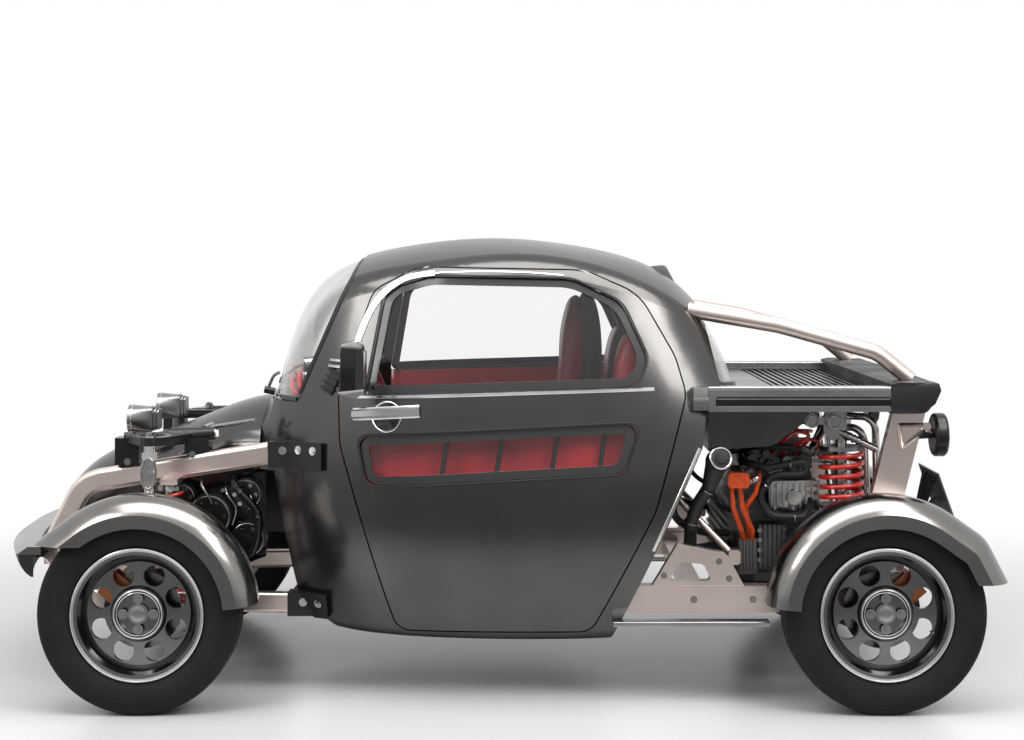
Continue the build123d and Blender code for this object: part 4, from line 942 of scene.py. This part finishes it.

# %% [markdown]
# Behind the cabin: the filler's bright ring and cap, clamps on the hoses, red hoses, ribs and
# bolts.
# The engine's CAD block keeps its shape under these.

# %% Engine bay details
rings, filler_cap, clamps = Kit(), Kit(), Kit()
mouth = Vector((0.7875, -0.7105, 0.8285))
mouth_axis = Vector((0.008, -0.062, 0.018)).normalized()
rings.ring((0.784, -0.7025, 0.826), mouth_axis, 0.0355, 0.0036, 56, 10)
CAP = [(0, 0.027), (0.003, 0.027), (0.004, 0.02), (0.008, 0.018), (0.009, 0.004)]
filler_cap.lathe(mouth - mouth_axis * 0.01, mouth_axis, CAP, 36)
for point, axis, radius in (
    ((0.75, -0.602, 0.706), (-37, 24, -64), 0.0235),
    ((0.699, -0.556, 0.592), (-20, 28, -72), 0.0235),
    ((1.042, -0.5175, 0.786), (1, 0, 0.2), 0.0145),
    ((0.957, -0.5125, 0.712), (-0.5, 0, -0.8), 0.0145),
    ((1.06, -0.505, 0.6005), (1, 0, 0), 0.0145),
):
    clamps.ring(point, axis, radius, 0.0022, 32, 6)
rings.make("filler_ring", bright_metal)
filler_cap.make("filler_cap", black_plastic)
clamps.make("hose_clamps", satin_alloy)

red_hoses, harness = Kit(), Kit()
red_hoses.tube([
    (1.0, -0.32, 0.8), (1.02, -0.47, 0.855), (1.065, -0.52, 0.895),
    (1.105, -0.52, 0.885), (1.085, -0.515, 0.862), (1.04, -0.44, 0.83),
    (1.03, -0.32, 0.79),
], 0.0065, sides=10)
red_hoses.tube([
    (1.08, -0.32, 0.79), (1.1, -0.47, 0.85), (1.12, -0.5, 0.868),
    (1.15, -0.48, 0.85), (1.155, -0.32, 0.795),
], 0.0065, sides=10)
red_hoses.mirror().make("red_hoses", spring_red)
harness.tube([
    (0.905, -0.3, 0.8), (0.93, -0.43, 0.835), (1.0, -0.47, 0.84),
    (1.08, -0.47, 0.835), (1.14, -0.32, 0.8),
], 0.011)
harness.tube([
    (0.86, -0.33, 0.6), (0.8, -0.46, 0.64), (0.76, -0.5, 0.74),
    (0.8, -0.52, 0.82), (0.9, -0.33, 0.81),
], 0.009)
harness.tube([
    (0.85, -0.33, 0.52), (0.74, -0.42, 0.54), (0.65, -0.5, 0.6),
    (0.64, -0.52, 0.7),
], 0.013)
harness.mirror().make("engine_harness", hose_rubber)

fittings, bright_parts = Kit(), Kit()
dice = random.Random(21)
for n in range(26):
    x, z = 0.88 + dice.random() * 0.25, 0.735 + dice.random() * 0.07
    size, depth = 0.005 + dice.random() * 0.011, 0.02 + dice.random() * 0.05
    fittings.rod((x, -0.3, z), (x, -0.315 - depth, z), size, size * 0.85, sides=14)
    if n % 3 == 0:
        bright_parts.bolt((x, -0.314 - depth, z), OUT, size * 0.75)
for n in range(9):
    x = 0.982 + n * 0.0205
    bright_parts.box((x, -0.472, 0.616), (x + 0.006, -0.455, 0.716), 0.0015)
bright_parts.box((0.976, -0.462, 0.61), (1.152, -0.454, 0.722), 0.004)
BELLOWS = [
    (0, 0.013), (0.006, 0.016), (0.01, 0.012), (0.016, 0.016), (0.021, 0.012),
    (0.027, 0.016), (0.032, 0.012), (0.038, 0.015), (0.046, 0.011),
]
bright_parts.lathe((0.884, -0.572, 0.726), (0.9, -0.05, 0.42), BELLOWS, 24)
damper_link = [(1.222, -0.545, 0.892), (1.28, -0.545, 0.866), (1.336, -0.54, 0.838)]
bright_parts.tube(damper_link, 0.0125, steps=24, wave=0.0018, waves=11)
for n in range(4):
    for x in (0.94, 1.028):
        bright_parts.bolt((x, -0.498, 0.452 + n * 0.034), OUT, 0.006)
for n in range(5):
    x = 0.872 + n * 0.011
    fittings.box((x, -0.508, 0.414), (x + 0.006, -0.499, 0.522), 0.001)
fittings.mirror().make("engine_fittings", cast_alloy)
for x in (1.0, 1.065, 1.13):
    for z in (0.626, 0.702):
        bright_parts.bolt((x, -0.458, z), OUT, 0.009)
bright_parts.rod((1.065, -0.457, 0.664), (1.065, -0.476, 0.664), 0.03, 0.026, 32)
bright_parts.rod((1.065, -0.475, 0.664), (1.065, -0.482, 0.664), 0.014, sides=24)
bright_parts.ring((1.184, -0.5905, 0.937), (0, 1, 0), 0.0215, 0.003, 36, 8)
bright_parts.rod((1.184, -0.589, 0.937), (1.184, -0.595, 0.937), 0.01, sides=24)
bright_parts.ring((1.112, -0.5605, 0.937), (0, 1, 0), 0.018, 0.0025, 32, 8)
bright_parts.mirror().make("engine_bright_parts", satin_alloy)

# %% [markdown]
# Polished strips are laid where edges catch the light along the frame, where the cabin ends and on
# the deck rails: they are painted highlights. Screws hold the deck's slats and the gussets.

# %% Painted edge highlights and screws
# polished strips on the cabin's rear edge and along the deck rails stand in for the highlights
# these edges show: painted highlights
CABIN_END = stretch([(0.556, 0.52), (0.65, 0.725), (0.712, 0.86)])
lines = Kit().band(*skin.lay(CABIN_END, LEFT), 0.012, 0.004)
for x0, x1, z0, z1 in (
    (0.77, 1.345, 0.9985, 1.0015), (0.77, 1.345, 1.0235, 1.0265), (0.743, 1.349, 1.0535, 1.0575),
):
    lines.box((x0, -0.7185, z0), (x1, -0.7155, z1))
lines.mirror().make("painted_highlight_lines", bright_metal)
# a gloss black sheet along each deck rail's slot, darker than the rail round it
slot_sheets = Kit().box((0.768, -0.7163, 1.0025), (1.348, -0.706, 1.033), 0.0005)
slot_sheets.mirror().make("rail_black_slots", gloss_black)
joints = Kit().box((0.69, -0.7162, 0.986), (0.7405, -0.64, 1.064), 0.004)
joints.box((0.69, -0.7175, 1.006), (0.742, -0.7, 1.03), 0.002)
joints.mirror().make("rail_joints", rail_alloy)
CORNER = [
    (1.352, 0.986), (1.47, 0.984), (1.5, 1.008), (1.52, 1.052), (1.512, 1.078), (1.352, 1.07),
]
corners = Kit().prism(CORNER, -0.7165, -0.6, 0.007)
corners.mirror().make("cap_corners", black_plastic)
front_z, rear_z = (
    skin.tree.ray_cast(Vector((x, 0, 2)), Vector((0, 0, -1)))[0].z for x in (0.59, 0.69))
WEDGE = [
    (0.59, front_z - 0.004), (0.645, front_z + 0.002), (0.655, front_z - 0.003),
    (0.69, rear_z - 0.004),
]
wedge = Kit().prism(WEDGE, -0.04, 0.04, 0.001)
wedge.make("roof_wedge", plate_grey)
screws = Kit()
for n in range(13):
    for y in (-0.56, 0.56):
        x = 1.022 + n * 0.026
        screws.rod((x, y, 1.0385), (x, y, 1.0402), 0.0035, sides=12)
for x, y, z, size in (
    (0.6, 0.6245, 0.42, 0.008), (0.786, 0.6245, 0.468, 0.008), (0.82, 0.6245, 0.41, 0.008),
    (0.7, 0.6305, 0.34, 0.009), (0.9, 0.6305, 0.34, 0.009),
):
    for side in (LEFT, RIGHT):
        screws.bolt((x, side * y, z), (0, side, 0), size)
screws.make("small_screws", satin_alloy)

# %% [markdown]
# At the tail each lamp has a dark lens in a gloss rim with a bright line behind, on a triangular
# bracket, and the plate hangs on a dark lattice.

# %% Tail details
tail_lens, tail_rims, tail_brackets, lattice = Kit(), Kit(), Kit(), Kit()
TAIL_LENS = [(0, 0.066), (0.002, 0.066), (0.004, 0.05), (0.005, 0.01)]
tail_lens.lathe((1.556, -0.6, 0.895), (1, 0, 0), TAIL_LENS, 48)
tail_rims.ring((1.5555, -0.6, 0.895), (1, 0, 0), 0.066, 0.0024, 56, 8)
y = Surface("rear_frame").at(1.4, 0.9, LEFT)[0].y - 0.005
for start, end in (
    ((1.394, 0.93), (1.488, 0.932)), ((1.394, 0.93), (1.404, 0.852)),
    ((1.404, 0.852), (1.488, 0.92)),
):
    tail_brackets.rod((start[0], y, start[1]), (end[0], y, end[1]), 0.0065, sides=4)
tail_brackets.rod((1.488, y + 0.01, 0.925), (1.488, y - 0.006, 0.925), 0.014, sides=24)
tail_brackets.rod((1.488, y + 0.005, 0.925), (1.508, -0.615, 0.905), 0.008, sides=16)
tail_lens.mirror().make("tail_lenses", gloss_black, slot="lamp_lens")
tail_rims.mirror().make("tail_rims", bright_metal)
tail_brackets.mirror().make("tail_brackets", frame_metal)
for n in range(7):
    y = -0.105 + n * 0.035
    lattice.rod((1.64, y, 0.7), (1.6, y * 0.6, 0.56), 0.0045, sides=10)
for x, y, z in ((1.64, 0.11, 0.7), (1.6, 0.066, 0.56)):
    lattice.rod((x, -y, z), (x, y, z), 0.006, sides=10)
lattice.make("plate_lattice", black_coat, slot="black_metal")

# %% [markdown]
# The studio is a pale floor that fades into white, lit by one wide soft lamp overhead and two at
# the sides. The world looks white to the camera and in reflections, and gives the object only a
# soft even light, so shadows stay gentle. Behind the camera the studio is dark, which the flanks
# mirror: without it polished metal would look like white plastic. The two side lamps stand where
# the pillars before and behind the window mirror them.

# %% Studio light
SOFT_LIGHT, DARKEST, BRIGHTEST = 0.36, 0.58, 1.0
world = bpy.data.worlds.new("studio")
bpy.context.scene.world = world
world.use_nodes = True
sky = Nodes(world.node_tree)
camera_ray, glossy_ray, clear_ray = (
    sky.node("ShaderNodeLightPath", {}, {}, f"Is {kind} Ray")
    for kind in ("Camera", "Glossy", "Transmission"))
ahead, up = sky.axes(sky.node("ShaderNodeTexCoord", {}, {}, "Generated"), "YZ")
openness = ((ahead + up * 0.9 + 1) * 0.5).most(camera_ray)
background = sky.nodes["Background"]
sky.put(background, "Color", openness.ramp(0.05, 0.4, DARKEST, BRIGHTEST))
seen = camera_ray.most(glossy_ray.most(clear_ray))
sky.put(background, "Strength", seen * (1 - SOFT_LIGHT) + SOFT_LIGHT)


def softbox(name, place, aim, size, watts):
    lamp = bpy.data.lights.new(name, "AREA")
    lamp.shape, lamp.size, lamp.size_y, lamp.energy = "RECTANGLE", size[0], size[1], watts
    holder = bpy.data.objects.new(name, lamp)
    bpy.context.scene.collection.objects.link(holder)
    holder.location = place
    holder.rotation_euler = (Vector(aim) - Vector(place)).to_track_quat("-Z", "Y").to_euler()
    print("lamp", name, "of", watts, "watts")


softbox("lamp_over", (0.2, -1.5, 4.2), (0, -0.3, 0.5), (5.5, 2.6), 235)
LAMP_DISTANCE = 4.6
for name, x, z, size, watts in (
    ("lamp_front", -0.425, 1.26, (1.5, 1.9), 75), ("lamp_rear", 0.6, 1.19, (1.8, 2.0), 105),
):
    spot, normal = skin.at(x, z, LEFT)
    sight = (spot - camera.location).normalized()
    mirrored = sight - 2 * sight.dot(normal) * normal
    softbox(name, spot + mirrored * LAMP_DISTANCE, spot, size, watts)

# %% [markdown]
# The floor is pale where the car stands, and for the camera it melts into white with distance, so
# no horizon shows. In front it is dark for every ray but the camera's, because the doors' lower
# half mirrors that.

# %% Floor
REACH, DARK_FROM, PALE_FROM, FADE_FROM, WHITE_FROM = 30.0, -2.3, -1.15, 1.5, 4.5
CORNERS = [(x * REACH, y * REACH, 0) for x, y in ((-1, -1), (1, -1), (1, 1), (-1, 1))]
floor_mesh = bpy.data.meshes.new("floor")
floor_mesh.from_pydata(CORNERS, [], [(0, 1, 2, 3)])
floor = bpy.data.objects.new("floor", floor_mesh)
bpy.context.scene.collection.objects.link(floor)
studio_floor = Finish("studio_floor", (0.6, 0.6, 0.6), 0.3)
(across,) = studio_floor.axes(studio_floor.place(), "Y")
camera_ray = studio_floor.node("ShaderNodeLightPath", {}, {}, "Is Camera Ray")
pale = 1 - (1 - across.ramp(DARK_FROM, PALE_FROM)) * (1 - camera_ray)
dark = (0.12, 0.12, 0.12, 1)
studio_floor.feed(**{"Base Color": studio_floor.mix(pale, dark, studio_floor.colour)})
measure = {"operation": "LENGTH"}
distance = studio_floor.node("ShaderNodeVectorMath", measure, [studio_floor.place()], "Value")
white = studio_floor.node("ShaderNodeEmission", {}, {"Color": (1, 1, 1, 1), "Strength": 1.0})
lit = Value(studio_floor, studio_floor.nodes["Principled BSDF"].outputs[0])
fade = distance.ramp(FADE_FROM, WHITE_FROM) * camera_ray
studio_floor.surface(studio_floor.node("ShaderNodeMixShader", {}, [fade, lit, white]))
floor_mesh.materials.append(studio_floor.material)
print("floor", 2 * REACH, "metres across")
